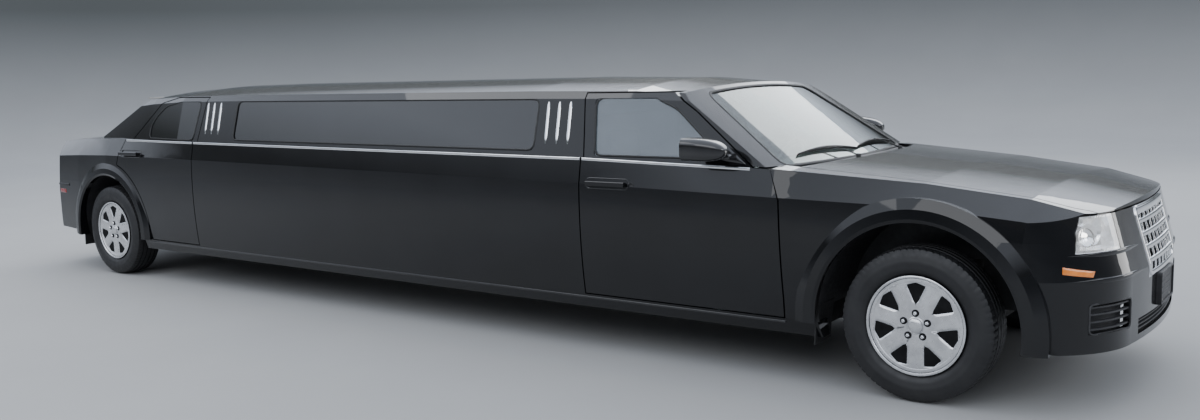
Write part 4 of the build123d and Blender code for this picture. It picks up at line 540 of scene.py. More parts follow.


# Five nuts in their seats: a six-sided prism with a domed end, and a ring of painted shade round it, both turned.
def lugParts(axleX, side, values):
    nuts, seats = [], []
    for k in range(5):
        angle = pi / 2 + 2 * pi * k / 5
        centre = (axleX + values["lugCircle"] * cos(angle), 0, wheelHeight + values["lugCircle"] * sin(angle))
        dome = [(0.0002, 0.9035), (0.006, 0.903), (0.0085, 0.901), (0.0088, 0.886), (0.0002, 0.886)]
        seat = [(0.009, 0.8930), (0.0145, 0.8945), (0.0168, 0.8925), (0.0168, 0.886), (0.009, 0.886)]
        nuts.append(turned(dome, centre, (0, side, 0), 6))
        seats.append(turned(seat, centre, (0, side, 0), 24, True))
    return nuts, seats


for endName, axleX in (("front", frontAxle), ("rear", rearAxle)):
    for sideName, side in bothSides:
        body = f"{endName}_wheel_{sideName}"
        makePiece(f"{endName}Tyre.{sideName}", [tyrePart(axleX, side, tyreValues)], "tyreRubber", body, sharp=32,
                  replaces=f"{endName}_tyre_{sideName}")
        makePiece(f"{endName}SpokeFaces.{sideName}", spokeParts(axleX, side, wheelValues), "rimMetal", body)
        makePiece(f"{endName}WheelTrim.{sideName}", wheelTrimParts(axleX, side, wheelValues), "rimMetal", body,
                  sharp=30)
        nuts, seats = lugParts(axleX, side, wheelValues)
        makePiece(f"{endName}LugNuts.{sideName}", nuts, "brightChrome", body, "alloy_silver", sharp=30)
        makePiece(f"{endName}LugSeats.{sideName}", seats, "rimBarrelPaintedShade", body, sharp=30)
print("limousine: wheels done")


# bright belt strips, slats and window seals

beltValues = {"height": 0.015, "depth": 0.009, "heights": ((-2.84, 1.0865), (-2.0, 1.0835), (1.5515, 1.0625),
              (2.577, 1.0385)), "drop": 0.007}


# A rounded strip along the belt: its height follows a line of points, its side the wall just below.
def beltPart(xFrom, xTo, names, values):
    x = np.arange(xFrom, xTo + 1e-6, (xTo - xFrom) / max(2, round((xTo - xFrom) / 0.06)))
    z = np.interp(x, [p[0] for p in values["heights"]], [p[1] for p in values["heights"]]) - values["drop"]
    y = surfaceAt(names, x, z - 0.003, 1, -1)
    path = xyz(x, y - 0.0005, z)
    return sweep(path, ring(values["height"], values["depth"], 0.6, 14), (0, -1, 0))


beltRuns = {
    "frontDoor": (frontAxle - 1.848, frontAxle - 0.83, ["front_door_right"], "front_door_{}"),
    "sideWall": (rearAxle + 1.178, frontAxle - 1.862, ["side_panels"], "car_body"),
    "rearDoor": (rearAxle + 0.245, rearAxle + 1.160, ["rear_door_right"], "rear_door_{}"),
}
slatValues = {"front": (1.128, 1.358, [frontAxle + x for x in (-2.138, -2.060, -1.982)]),
              "rear": (1.140, 1.364, [rearAxle + x for x in (1.254, 1.329, 1.409)]),
              "width": 0.020, "depth": 0.012, "lean": 0.012}


# Upright bars on the side wall: a rounded section up a path that leans a little back towards its top.
def slatParts(low, high, places, values):
    parts = []
    z = np.linspace(low, high, 16)
    for x in places:
        lean = x - values["lean"] * (z - low) / (high - low)
        y = surfaceAt(["side_panels"], lean, z, 1, -1)
        grow = 1 - 0.6 * np.abs(2 * (z - low) / (high - low) - 1) ** 8
        parts.append(sweep(xyz(lean, y - 0.0005, z), ring(values["width"], values["depth"], 0.65, 16), (0, -1, 0),
                           size=grow))
    return parts


sealValues = {"width": 0.011, "depth": 0.008, "inset": 0.004, "step": 0.03}
windowOutlines = {"frontDoorSeal": ([(frontAxle + x, z) for x, z in ((-1.792, 1.070), (-1.830, 1.376),
        (-1.440, 1.376), (-1.300, 1.324), (-0.985, 1.070))], ["front_door_right", "front_door_glass_right"],
                                    "front_door_{}"),
                  "rearDoorSeal": ([(rearAxle + x, z) for x, z in ((1.118, 1.090), (1.155, 1.376), (0.882, 1.376),
        (0.661, 1.346), (0.531, 1.265), (0.466, 1.190), (0.470, 1.094))],
                                   ["rear_door_right", "rear_door_glass_right"], "rear_door_{}"),
                  "longSeal": ([(frontAxle - 5.015, 1.100), (frontAxle - 5.015, 1.376), (frontAxle - 2.215, 1.376),
                                (frontAxle - 2.215, 1.088)], ["side_panels", "side_windows"], "car_body"),}


# A soft strip round a window: the rounded outline pulled in towards its middle, laid on glass and frame.
def sealPart(outline, names, values):
    flat = evenly(roundCorners(outline, 0.045, steps=6), values["step"], closed=True)
    along = np.roll(flat, -1, 0) - np.roll(flat, 1, 0)
    inward = np.stack([-along[:, 1], along[:, 0]], axis=-1)
    inward = inward / np.linalg.norm(inward, axis=1, keepdims=True)
    centre = flat.mean(0)
    inward = inward * np.sign(((centre - flat) * inward).sum(1).mean())
    grown = flat - 0.006 * inward
    y = surfaceAt(names[:1], grown[:, 0], grown[:, 1], 1, -1)
    flat = flat + values["inset"] * inward
    path = xyz(flat[:, 0], y + 0.0012, flat[:, 1])
    return sweep(path, ring(values["width"], values["depth"], 0.7, 10), (0, -1, 0), closed=True)


for name, (xFrom, xTo, names, body) in beltRuns.items():
    makePair(f"{name}Belt", [beltPart(xFrom, xTo, names, beltValues)], "brightChrome", body)
for name in ("front", "rear"):
    makePair(f"{name}Slats", slatParts(*slatValues[name], slatValues), "brightChrome")
for name, (outline, names, body) in windowOutlines.items():
    makePair(name, [sealPart(outline, names, sealValues)], "sealRubber", body)
print("limousine: belt strips, slats and seals done")

# pieces laid on the body

# Points whose third coordinate is the outermost of the nodes there, plus the lift away from them.
def onSurface(names, first, second, axis, far, lift=0.0):
    height = surfaceAt(names, first, second, axis, far) + far * lift
    return np.insert(np.stack([first, second], axis=-1), axis, height, axis=-1)


# A plate on the nodes: a grid spread evenly between four corners, raised by rise (1 - |2u-1|^edge)(1 - |2v-1|^edge).
def patchOn(names, corners, rise, axis=1, far=-1, size=(24, 12), under=0.001, edge=8):
    u, v = grid((0, 1, size[0]), (0, 1, size[1]))
    a, b, c, d = np.asarray(corners, float)
    flat = (((1 - u) * (1 - v))[..., None] * a + (u * (1 - v))[..., None] * b + (u * v)[..., None] * c
            + ((1 - u) * v)[..., None] * d)
    base = onSurface(names, flat[..., 0], flat[..., 1], axis, far)
    swell = (1 - np.abs(2 * u - 1) ** edge) * (1 - np.abs(2 * v - 1) ** edge)
    top, bottom = base.copy(), base.copy()
    top[..., axis] += far * rise * (0.25 + 0.75 * swell)
    bottom[..., axis] -= far * under
    return slab(top, bottom)


# A flat plate across the car: an outline in y and z about its middle, carried a little along x.
def plate(x, thickness, outline, middle):
    y, z = middle
    return sweep([(x, y, z), (x + thickness, y, z)], np.asarray(outline, float), (0, 0, 1))


# A strip along a level path: its section stands out along the path's direction crossed with the upright.
def levelStrip(path, height, depth, squareness=0.6, size=None):
    along = np.gradient(np.asarray(path, float), axis=0)
    return sweep(path, ring(height, depth, squareness, 14), np.cross(along, (0, 0, 1.0)), size=size)


# A level path round a right-hand corner: along the side by the wall's y, then across the end by its x.
def aroundEnd(names, z, yInner, xBack, xTurn, way, lift):
    x = np.linspace(xBack, xTurn, 12)
    flank = onSurface(names, x, np.full_like(x, z), 1, -1, lift)
    y = np.linspace(flank[-1, 1], yInner, 34)[1:]
    front = onSurface(names, y, np.full_like(y, z), 0, way, lift)
    return evenly(np.concatenate([flank, front]), 0.025)


# A rounded rectangle about the middle.
def rectangle(width, height, corner, steps=5):
    w, h = width / 2, height / 2
    return roundCorners([(-w, -h), (w, -h), (w, h), (-w, h)], corner, steps=steps)


# door mirrors
mirrorValues = {"x": (-1.130, -0.902), "y": (-1.0505, -0.908), "z": (1.0735, 1.1885), "bulge": 3.4,
                "squareness": 0.58}


# Rounded sections that grow towards the back as (1 - (1 - u)^bulge)^0.5 and fold in to the glass's seat.
def mirrorHousing(values):
    (xBack, xFront), (yFar, yNear), (zLow, zHigh) = values["x"], values["y"], values["z"]
    u = np.linspace(0.015, 1, 24)
    grow = np.append((1 - (1 - u) ** values["bulge"]) ** 0.5, [0.95, 0.91, 0.90])[:, None]
    x = frontAxle + np.append(xFront + (xBack - xFront) * u, [xBack - 0.0003, xBack + 0.002, xBack + 0.009])
    section = ring(yNear - yFar, zHigh - zLow, values["squareness"], 44)
    lower = 0.012 * (1 - np.append(u, [1, 1, 1])[:, None]) ** 2
    housing = loft(xyz(x[:, None], (yFar + yNear) / 2 + grow * section[None, :, 0], (zLow + zHigh) / 2 - lower + grow
                       * section[None, :, 1]))
    arm = roundedBox((frontAxle - 0.955, -0.888, 1.090), (0.070, 0.088, 0.028), 0.011)
    sail = patchOn(["front_door_right"], [(frontAxle + x, z) for x, z in
                   ((-0.982, 1.066), (-0.862, 1.053), (-0.994, 1.150), (-1.078, 1.146))], 0.006, size=(14, 14))
    return [housing, arm, sail]


makePair("mirrorHousing", mirrorHousing(mirrorValues), "glossPlastic", "front_door_{}", "body_paint",
         replaces="mirror_{}")
makePair("mirrorGlass", [plate(frontAxle - 1.1255, 0.0025, ring(0.124, 0.098, 0.62, 44), (-0.979, 1.131))],
         "mirrorGlass", "front_door_{}", bevel=0.0006)

# headlamps, side markers and tail lamps
lampValues = {"bowls": ((-0.626, 0.790, 0.055, 12.0), (-0.728, 0.788, 0.047, 33.0)), "depth": 0.024}


# Each bowl is a parabola, depth times (r / radius)^2, turned about a line that leans outwards, with its bulb.
def bowlParts(values):
    mirrors, bulbs = [], []
    for y, z, radius, lean in values["bowls"]:
        axis = np.array([cos(radians(lean)), -sin(radians(lean)), 0.0])
        floor = onSurface(["headlamps"], np.array([y]), np.array([z]), 0, 1, 0.001)[0]
        r = np.linspace(0.0002, radius, 14)
        profile = [(k, 0.003 + values["depth"] * (k / radius) ** 2) for k in r]
        profile += [(radius + 0.003, 0.003 + values["depth"]), (radius + 0.0035, 0.0), (0.0002, 0.0)]
        mirrors.append(turned(profile, floor, axis, 56))
        bulb = [(0.0002, 0.021), (0.004, 0.0205), (0.0075, 0.018), (0.009, 0.013), (0.009, 0.004), (0.0002, 0.003)]
        bulbs.append(turned(bulb, floor, axis, 24))
    return mirrors, bulbs


bowls, bulbs = bowlParts(lampValues)
makePair("headlampBowls", bowls, "lampMirrorPaintedGlow", sharp=30)
makePair("headlampBulbs", bulbs, "lampGlow")
# lamps laid flush: what carries them, four corners from above (x or y, then z), rise, axis and grid
flushLamps = {
    "frontMarker": (["front_bumper"], [(frontAxle + 0.606, 0.634), (frontAxle + 0.706, 0.616),
                    (frontAxle + 0.710, 0.640), (frontAxle + 0.604, 0.664)], 0.005, 1, -1, (20, 8)),
    "rearMarker": (["rear_bumper"], [(rearAxle - 0.78, 0.630), (rearAxle - 0.68, 0.630), (rearAxle - 0.68, 0.662),
                   (rearAxle - 0.78, 0.662)], 0.004, 1, -1, (20, 8)),
    "reverseLamp": (["tail_lamps"], [(-0.800, 0.788), (-0.672, 0.788), (-0.672, 0.846), (-0.800, 0.846)],
                    0.003, 0, -1, (16, 10)),
    "rearTurnLamp": (["tail_lamps"], [(-0.800, 0.868), (-0.676, 0.868), (-0.690, 0.905), (-0.800, 0.905)],
                     0.003, 0, -1, (16, 10)),
}
flushFinishes = {"frontMarker": ("amberLens", "clear_lens"), "rearMarker": ("redLens", "red_lens"),
                 "reverseLamp": ("lampMirrorPaintedGlow", "clear_lens"), "rearTurnLamp": ("amberLens", "red_lens")}
for name, (finish, slot) in flushFinishes.items():
    makePair(name, [patchOn(*flushLamps[name])], finish, slot=slot)
print("limousine: mirrors and lamps done")


# grille, bumper and intakes
# The nose's face: 0.850 ahead of the axle, less 0.152 y^2, leaning back by 0.27 above 0.6.
def noseX(y, z):
    return frontAxle + 0.850 - 0.152 * y ** 2 - 0.27 * np.clip(z - 0.6, 0, None)


grilleValues = {"rows": (0.620, 0.678, 0.736, 0.794), "barHeight": 0.023, "barDepth": 0.022, "columns": 7,
                "pitch": 0.0745, "foot": (0.286, 0.548), "top": (0.312, 0.866), "inset": 0.015}


# Rods across the nose at each row's height, uprights between them and a frame round the outline.
def grilleParts(values):
    parts = []
    (footHalf, foot), (topHalf, top) = values["foot"], values["top"]
    for z in values["rows"]:
        half = footHalf + (topHalf - footHalf) * (z - foot) / (top - foot) - 0.012
        y = np.linspace(-half, half, 41)
        parts.append(levelStrip(xyz(noseX(y, z) - 0.007, y, z), values["barHeight"], values["barDepth"], 0.55))
    for k in range(values["columns"]):
        z = np.linspace(foot + 0.012, top - 0.014, 22)
        y = (k - (values["columns"] - 1) / 2) * values["pitch"] + 0 * z
        parts.append(sweep(xyz(noseX(y, z) - 0.012, y, z), ring(0.012, 0.018, 0.6, 12), (1, 0, 0.2)))
    inset = values["inset"]
    corners = [(-footHalf + inset, foot + inset), (footHalf - inset, foot + inset), (topHalf - inset, top - inset),
               (-topHalf + inset, top - inset)]
    flat = evenly(roundCorners(corners, 0.028), 0.016, closed=True)
    path = xyz(noseX(flat[:, 0], flat[:, 1]) - 0.004, flat[:, 0], flat[:, 1])
    parts.append(sweep(path, ring(0.026, 0.018, 0.6, 16), (1, 0, 0.2), closed=True))
    y = np.linspace(-0.288, 0.288, 41)
    parts.append(levelStrip(xyz(noseX(y, 0.842) - 0.003, y, 0.842), 0.036, 0.022, 0.5))
    return parts


makePiece("grilleBars", grilleParts(grilleValues), "brightChrome", sharp=50)
y, z = grid((-0.296, 0.296, 40), (0.556, 0.856, 22))
dent = 0.003 * np.cos(2 * pi * z / 0.0136)
behind = xyz(noseX(y, z) - 0.052 + dent, y, z)
makePiece("grilleBack", [slab(behind, behind - (0.006, 0, 0))], "blackPlastic")

bumperValues = {"ledges": (0.706, 0.600), "height": 0.022, "depth": 0.012, "slats": (0.392, 0.424, 0.456, 0.486),
                "lowSlats": (0.336, 0.354, 0.372)}

parts = []
for z in bumperValues["ledges"]:
    path = aroundEnd(["front_bumper"], z, -0.335, frontAxle + 0.72 - 0.10, frontAxle + 0.64, 1, -0.001)
    grow = np.clip(np.minimum(np.arange(len(path)), np.arange(len(path))[::-1]) / 6, 0.15, 1)
    parts.append(levelStrip(path, bumperValues["height"], bumperValues["depth"], 0.75, grow))
makePair("bumperLedges", parts, "blackPaint")
y = np.linspace(-0.768, -0.522, 18)
edge = surfaceAt(["front_bumper"], y, 0.512 + 0 * y, 0, 1)
parts = [levelStrip(xyz(edge - 0.016, y, z), 0.010, 0.022, 0.6) for z in bumperValues["slats"]]
yy, zz = np.meshgrid(y, np.linspace(0.366, 0.506, 8), indexing="ij")
back = xyz(edge[:, None] - 0.040, yy, zz)
rim = rectangle(0.246, 0.130, 0.022) + (-0.645, 0.436)
rimPath = xyz(np.interp(rim[:, 0], y, edge) - 0.001, rim[:, 0], rim[:, 1])
parts += [slab(back, back - (0.004, 0, 0)), sweep(rimPath, ring(0.009, 0.010, 0.7, 10), (1, -0.3, 0), closed=True)]
makePair("sideIntake", parts, "blackPlastic")
y = np.linspace(-0.418, 0.418, 36)
parts = [levelStrip(xyz(noseX(y, 0.35) - 0.016, y, z), 0.007, 0.020, 0.6) for z in bumperValues["lowSlats"]]
yy, zz = np.meshgrid(y, np.linspace(0.314, 0.392, 6), indexing="ij")
back = xyz(noseX(yy, 0.35) - 0.042, yy, zz)
parts.append(slab(back, back - (0.004, 0, 0)))
makePiece("lowerIntake", parts, "blackPlastic")

# number plate places
bracketValues = {"middle": (0.0, 0.473), "size": (0.306, 0.152), "holes": (0.0889, 0.0603)}
width, height = bracketValues["size"]
rim = rectangle(width - 0.010, height - 0.010, 0.014)
rimPath = xyz(4.2708, rim[:, 0], rim[:, 1] + bracketValues["middle"][1])
parts = [plate(4.2470, 0.0205, rectangle(width, height, 0.016), bracketValues["middle"]),
         sweep(rimPath, ring(0.010, 0.010, 0.6, 12), (1, 0, 0), closed=True)]
for z in (0.445, 0.473, 0.501):
    parts.append(roundedBox((4.2672, 0, z), (0.006, 0.20, 0.006), 0.002))
makePiece("frontPlateBracket", parts, "blackPlastic", bevel=0.0008, replaces="plate_bracket")
holeY, holeZ = bracketValues["holes"]
screw = [(0.0002, 0.0032), (0.003, 0.003), (0.0052, 0.0015), (0.0056, 0.0), (0.0002, -0.001)]
makePiece("frontPlateScrews", [turned(screw, (4.2672, a * holeY, 0.473 + b * holeZ), (1, 0, 0), 18) for a in (-1, 1)
                               for b in (-1, 1)], "castMetal", slot="bright_chrome")
makePiece("rearBlankPlate", [plate(-4.2282, -0.0018, rectangle(0.305, 0.140, 0.008), (0.0, 0.864))], "platePaint",
          "boot_lid", bevel=0.0005)
makePiece("rearPlateScrews", [turned(screw, (-4.2296, a * holeY, 0.864 + b * holeZ), (-1, 0, 0), 18) for a in (-1, 1)
                              for b in (-1, 1)], "castMetal", "boot_lid", "bright_chrome")
y = np.linspace(-0.26, 0.26, 30)
path = onSurface(["boot_lid"], y, 0.962 + 0 * y, 0, -1, 0.001)[::-1]
makePiece("lidGarnish", [levelStrip(path, 0.026, 0.014, 0.5)], "brightChrome", "boot_lid")
makePiece("highStopLamp", [patchOn(["boot_lid"], [(-0.17, 1.000), (0.17, 1.000), (0.17, 1.018), (-0.17, 1.018)],
                                   0.003, 0, -1, (30, 6))], "redLens", "boot_lid")
path = aroundEnd(["rear_bumper"], 0.700, 0.0, rearAxle - 0.62, rearAxle - 0.80, -1, -0.001)
ledge = levelStrip(path, 0.020, 0.012, 0.7)
makePiece("rearBumperStrip", [mirrorPart(ledge, side) for _, side in bothSides], "blackPlastic")
print("limousine: grille, bumpers and plates done")

# cowl, wipers and the seals of the two screens
louvreValues = {"offsets": (0.018, 0.031, 0.044, 0.057), "half": 0.62}
parts = []
for offset in louvreValues["offsets"]:
    y = np.linspace(-louvreValues["half"], louvreValues["half"], 60)
    x = frontAxle - 0.539 - 0.095 * (y / 0.738) ** 2 - offset
    path = onSurface(["cowl_panel"], x, y, 2, 1, -0.001)
    parts.append(sweep(path, ring(0.006, 0.007, 0.7, 8), (0, 0, 1)))
makePiece("cowlLouvres", parts, "blackPlastic")

wiperValues = {"left": ((-0.612, 0.50), (-0.735, 0.63), (-0.688, 0.06)), "right": ((-0.600, -0.12), (-0.680, 0.02),
        (-0.742, -0.56))}
screenNormal = np.array([sin(radians(32.2)), 0, cos(radians(32.2))])


# Blade: a strip on the glass from start to end; frame above it; arm from the pivot to the blade's middle.
def wiperParts(pivot, start, end):
    t = np.linspace(0, 1, 26)
    x = frontAxle + start[0] + (end[0] - start[0]) * t - 0.012 * np.sin(pi * t)
    y = start[1] + (end[1] - start[1]) * t
    glass = onSurface(["windscreen"], x, y, 2, 1)
    blade = glass + 0.006 * screenNormal
    frameLine = glass + (0.013 + 0.006 * np.sin(pi * t))[:, None] * screenNormal
    root = onSurface(["cowl_panel"], np.array([frontAxle + pivot[0]]), np.array([pivot[1]]), 2, 1)[0]
    s = np.linspace(0, 1, 18)[:, None]
    middle = frameLine[12] + 0.004 * screenNormal
    knee = root * 0.72 + middle * 0.28 + np.array([0, 0, 0.016])
    arm = (1 - s) ** 2 * (root + (0, 0, 0.012)) + 2 * s * (1 - s) * knee + s ** 2 * middle
    parts = [sweep(blade, ring(0.004, 0.013, 0.8, 8), screenNormal),
             sweep(frameLine, ring(0.011, 0.006, 0.7, 10), screenNormal,
                   size=0.55 + 0.45 * np.sin(pi * np.clip(t, 0.06, 0.94))),
             sweep(arm, ring(0.013, 0.007, 0.7, 12), (0, 0.05, 1), size=1.15 - 0.5 * s[:, 0]),
             turned([(0.0002, 0.022), (0.009, 0.021), (0.012, 0.016), (0.013, -0.002), (0.0002, -0.002)], root,
                    (0, 0, 1), 24)]
    return parts


makePiece("wipers", wiperParts(*wiperValues["left"]) + wiperParts(*wiperValues["right"]), "sealRubber")

screenSeals = {
    "windscreenSeal": ("windscreen", 0.745, 0.580, 1.034, 1.390, 0.024, 1, 32.2),
    "rearWindowSeal": ("rear_window", 0.662, 0.556, 1.118, 1.392, 0.014, -1, 23.8),
}


# A strip round a screen: its outline in front view, the top edge bowed by bow (1 - (y / high)^2), laid on the glass
# by the glass's own x, and lifted along the slope's normal.
def screenSeal(node, low, high, zLow, zHigh, bow, way, slope):
    y = np.linspace(high, -high, 40)
    top = np.stack([y, zHigh + bow * (1 - (y / high) ** 2)], axis=-1)
    corners = roundCorners(np.concatenate([[(-low, zLow), (low, zLow)], top[[0, -1]]]), 0.045, steps=6)
    corners[:, 1] += bow * np.clip(1 - (corners[:, 0] / high) ** 2, 0, 1) * (corners[:, 1] > zHigh - 0.002)
    flat = np.concatenate([corners[:18], top[3:-3], corners[18:]])
    flat = evenly(flat, 0.022, closed=True)
    inner = flat + (np.array([0, (zLow + zHigh) / 2]) - flat) * np.array([0.012, 0.03])
    x = surfaceAt([node], inner[:, 0], inner[:, 1], 0, way)
    x = x - way * (flat[:, 1] - inner[:, 1]) / np.tan(radians(slope))
    normal = np.array([way * sin(radians(slope)), 0, cos(radians(slope))])
    path = xyz(x, flat[:, 0], flat[:, 1]) + 0.002 * normal
    return sweep(path, ring(0.019, 0.010, 0.65, 12), normal, closed=True)


for name, numbers in screenSeals.items():
    makePiece(name, [screenSeal(*numbers)], "sealRubber")
print("limousine: cowl, wipers and screen seals done")

# door handle surrounds, splash guards, filler flap and exhaust tips
handleValues = {"front": (frontAxle - 1.670, 0.930, 0.160), "rear": (rearAxle + 0.360, 0.982, -0.160),
                "size": (0.276, 0.054), "lock": [(0.0002, 0.003), (0.007, 0.003), (0.0105, 0.0022), (0.0115, 0.0),
                                                 (0.0002, -0.002)]}
for endName in ("front", "rear"):
    x, z, lockAside = handleValues[endName]
    node = f"{endName}_door_right"
    flat = evenly(rectangle(*handleValues["size"], 0.025, 7), 0.008, closed=True) + (x, z)
    skin = surfaceAt([node], 0 * flat[:, 0] + x + 0.15, flat[:, 1], 1, -1) - 0.0005
    surround = sweep(xyz(flat[:, 0], skin, flat[:, 1]), ring(0.006, 0.005, 0.8, 8), (0, -1, 0), closed=True)
    lockX = x + lockAside
    lockY = surfaceAt([node], np.array([lockX]), np.array([z]), 1, -1)[0]
    makePair(f"{endName}HandleSurround", [surround, turned(handleValues["lock"], (lockX, lockY, z), (0, -1, 0), 28)],
             "glossPlastic", f"{endName}_door_{{}}")
guards = []
for x in (frontAxle - 0.492, rearAxle - 0.470):
    u, v = grid((-0.70, -0.892, 14), (0.205, 0.400, 12))
    face = xyz(x + 0.020 * ((v - 0.205) / 0.195) ** 2 - 0.006 * np.sin(9 * u), u, v)
    guards.append(slab(face, face - (0.006, 0, 0)))
makePair("splashGuards", guards, "sealRubber", bevel=0.0015)
tip = [(0.0335, 0.0), (0.0375, 0.001), (0.0385, 0.004), (0.0375, 0.09), (0.034, 0.10), (0.0325, 0.10), (0.0325, 0.0)]
for sideName, side in bothSides:
    makePiece(f"exhaustTip.{sideName}", [turned(tip, (-4.2500, side * 0.48, 0.252), (1, 0, 0), 48, True)],
              "brightChrome")
x = np.linspace(rearAxle + 0.50, frontAxle - 0.64, 60)
sill = onSurface(["sills"], x, 0.300 + 0 * x, 1, -1, -0.001)
makePiece("sillStrips", [mirrorPart(sweep(sill, ring(0.013, 0.009, 0.6, 12), (0, -1, 0)), side) for _,
                         side in bothSides], "glossPlastic", slot="body_paint")
flat = evenly(rectangle(0.170, 0.150, 0.030, 7), 0.010, closed=True) + (rearAxle - 0.300, 0.930)
path = onSurface(["rear_quarters"], flat[:, 0], flat[:, 1], 1, 1, -0.0008)
makePiece("fillerFlapGap", [sweep(path, ring(0.0035, 0.0035, 1.0, 8), (0, 1, 0), closed=True)], "sealRubber")
print("limousine: handles, guards and tips done")

# padded seats, swollen by simulation

# Keeps the triangles of parts under a name, so that other pieces can be laid on them.
def shapeTriangles(name, parts):
    halves = [points[quads[:, pick]] for points, quads, _ in parts for pick in ([0, 1, 2], [0, 2, 3])]
    triangleCache[name] = np.concatenate(halves)


# A closed pad before it swells: powers of cosines and sines round a ball, its upper side crowned by (1 - x^2)(1 -
# y^2) and its two long edges raised by |y|^6.
def padShape(length, width, thick, crown, bolster):
    theta, phi = np.meshgrid(np.linspace(0.03, pi - 0.03, 30), np.linspace(0, 2 * pi, 60, endpoint=False),
                             indexing="ij")
    x, y, z = (np.sign(v) * np.abs(v) ** e for v, e in ((np.cos(phi), 0.28), (np.sin(phi), 0.28),
                                                        (np.cos(theta), 0.75)))
    x, y = x * np.sin(theta) ** 0.22, y * np.sin(theta) ** 0.22
    upper = np.clip(z, 0, 1)
    lift = upper * (crown * (1 - x ** 2) * (1 - y ** 2) + bolster * np.abs(y) ** 6)
    return loft(xyz(x * length / 2, y * width / 2, z * thick / 2 + lift))


padValues = {
    "frontCushion": {"size": (0.500, 0.490, 0.112, 0.012, 0.030), "voxel": 0.0105, "seams": (0.10, -0.02, -0.14)},
    "frontBack": {"size": (0.600, 0.475, 0.105, 0.008, 0.034), "voxel": 0.0105, "seams": (0.16, 0.02, -0.12)},
    "headrest": {"size": (0.160, 0.250, 0.080, 0.004, 0.0), "voxel": 0.0085, "seams": ()},
    "benchCushion": {"size": (0.585, 0.605, 0.122, 0.012, 0.0), "voxel": 0.0120, "seams": (0.14, 0.0, -0.14)},
    "benchBack": {"size": (0.585, 0.605, 0.125, 0.010, 0.0), "voxel": 0.0120, "seams": (0.14, 0.0, -0.14)},
    "sideCushion": {"size": (0.448, 0.780, 0.124, 0.012, 0.0), "voxel": 0.0120, "seams": (0.0,)},
    "sideBack": {"size": (0.450, 0.780, 0.088, 0.008, 0.0), "voxel": 0.0120, "seams": (0.08, -0.08)},
}
swell = {"pressure": 4.0, "frames": 20, "cap": 0.022, "seamDepth": 0.006, "seamWidth": 0.007}


# The points of a mesh of quads, and the four corners of each face.
def meshArrays(mesh):
    points = np.empty(len(mesh.vertices) * 3, np.float32)
    mesh.vertices.foreach_get("co", points)
    corners = np.empty(len(mesh.loops), np.int32)
    mesh.loops.foreach_get("vertex_index", corners)
    return points.reshape(-1, 3).astype(float), corners.reshape(-1, 4)


# Each pad is remeshed, filled with pressure and stepped; a point moves no further than the cap. Then seams sink the
# upper side by depth times exp(-((x - seam) / width)^2).
def swellPads(values, amounts):
    objects, results = {}, {}
    for name, one in values.items():
        points, quads, caps = padShape(*one["size"])
        mesh = bpy.data.meshes.new(name)
        mesh.from_pydata(points, [], quads.tolist() + caps)
        outward(mesh)
        pad = addObject(name, mesh)
        remesh = pad.modifiers.new("remesh", "REMESH")
        remesh.mode, remesh.voxel_size = "VOXEL", one["voxel"]
        fine = bpy.data.meshes.new_from_object(pad.evaluated_get(bpy.context.evaluated_depsgraph_get()))
        pad.modifiers.clear()
        pad.data = fine
        objects[name] = pad
        results[name] = meshArrays(fine)
    for pad in objects.values():
        cloth = pad.modifiers.new("cloth", "CLOTH")
        settings = cloth.settings
        settings.quality, settings.mass = 4, 0.3
        settings.use_pressure, settings.uniform_pressure_force = True, amounts["pressure"]
        settings.tension_stiffness = settings.compression_stiffness = 15.0
        settings.shear_stiffness, settings.bending_stiffness = 5.0, 0.5
        settings.effector_weights.gravity = 0.0
        cloth.point_cache.frame_start, cloth.point_cache.frame_end = 1, amounts["frames"]
    for step in range(1, amounts["frames"] + 1):
        bpy.context.scene.frame_set(step)
    graph = bpy.context.evaluated_depsgraph_get()
    for name, pad in objects.items():
        swollen = bpy.data.meshes.new_from_object(pad.evaluated_get(graph))
        start, quads = results[name]
        move = meshArrays(swollen)[0] - start
        far = np.linalg.norm(move, axis=1, keepdims=True)
        results[name] = (start + move * np.minimum(1, amounts["cap"] / np.maximum(far, 1e-9)), quads)
        print("limousine: swelled", name, len(start), "points, furthest", round(float(far.max()), 4))
    bpy.context.scene.frame_set(1)
    for name, pad in objects.items():
        points, quads = results[name]
        half = values[name]["size"][1] / 2
        upper = np.clip(points[:, 2] / 0.03, 0, 1) * np.clip((half * 0.80 - np.abs(points[:, 1])) / 0.02, 0, 1)
        for seam in values[name]["seams"]:
            points[:, 2] -= amounts["seamDepth"] * upper * np.exp(-((points[:, 0] - seam)
                    / amounts["seamWidth"]) ** 2)
        if name in ("frontCushion", "frontBack"):
            across = np.exp(-((np.abs(points[:, 1]) - half * 0.80) / amounts["seamWidth"]) ** 2)
            points[:, 2] -= amounts["seamDepth"] * np.clip(points[:, 2] / 0.03, 0, 1) * across
        results[name] = (points, quads)
        bpy.data.objects.remove(pad)
    return results


# A turn whose columns are where a pad's length, width and visible face point: up, face x up and face.
def turnTo(upWay, faceWay):
    upWay, faceWay = np.asarray(upWay, float), np.asarray(faceWay, float)
    return np.stack([upWay, np.cross(faceWay, upWay), faceWay], axis=-1)


# A cord of piping on the pad: a rounded outline inside its rim, laid on its upper side.
def pipingPart(points, quads, size, turn, centre):
    shapeTriangles("pad", [(points, quads, [])])
    flat = evenly(roundCorners([(-1, -1), (1, -1), (1, 1), (-1, 1)], 0.25, steps=6) * (np.array(size[:2]) / 2 * 0.86),
                  0.012, closed=True)
    path = onSurface(["pad"], flat[:, 0], flat[:, 1], 2, 1, 0.0005)
    smooth = (np.roll(path[:, 2], 1) + path[:, 2] + np.roll(path[:, 2], -1)) / 3
    path = xyz(path[:, 0], path[:, 1], smooth)
    part, cordQuads, caps = sweep(path, ring(0.0052, 0.0052, 1.0, 8), (0, 0, 1), closed=True)
    return part @ turn.T + centre, cordQuads, caps


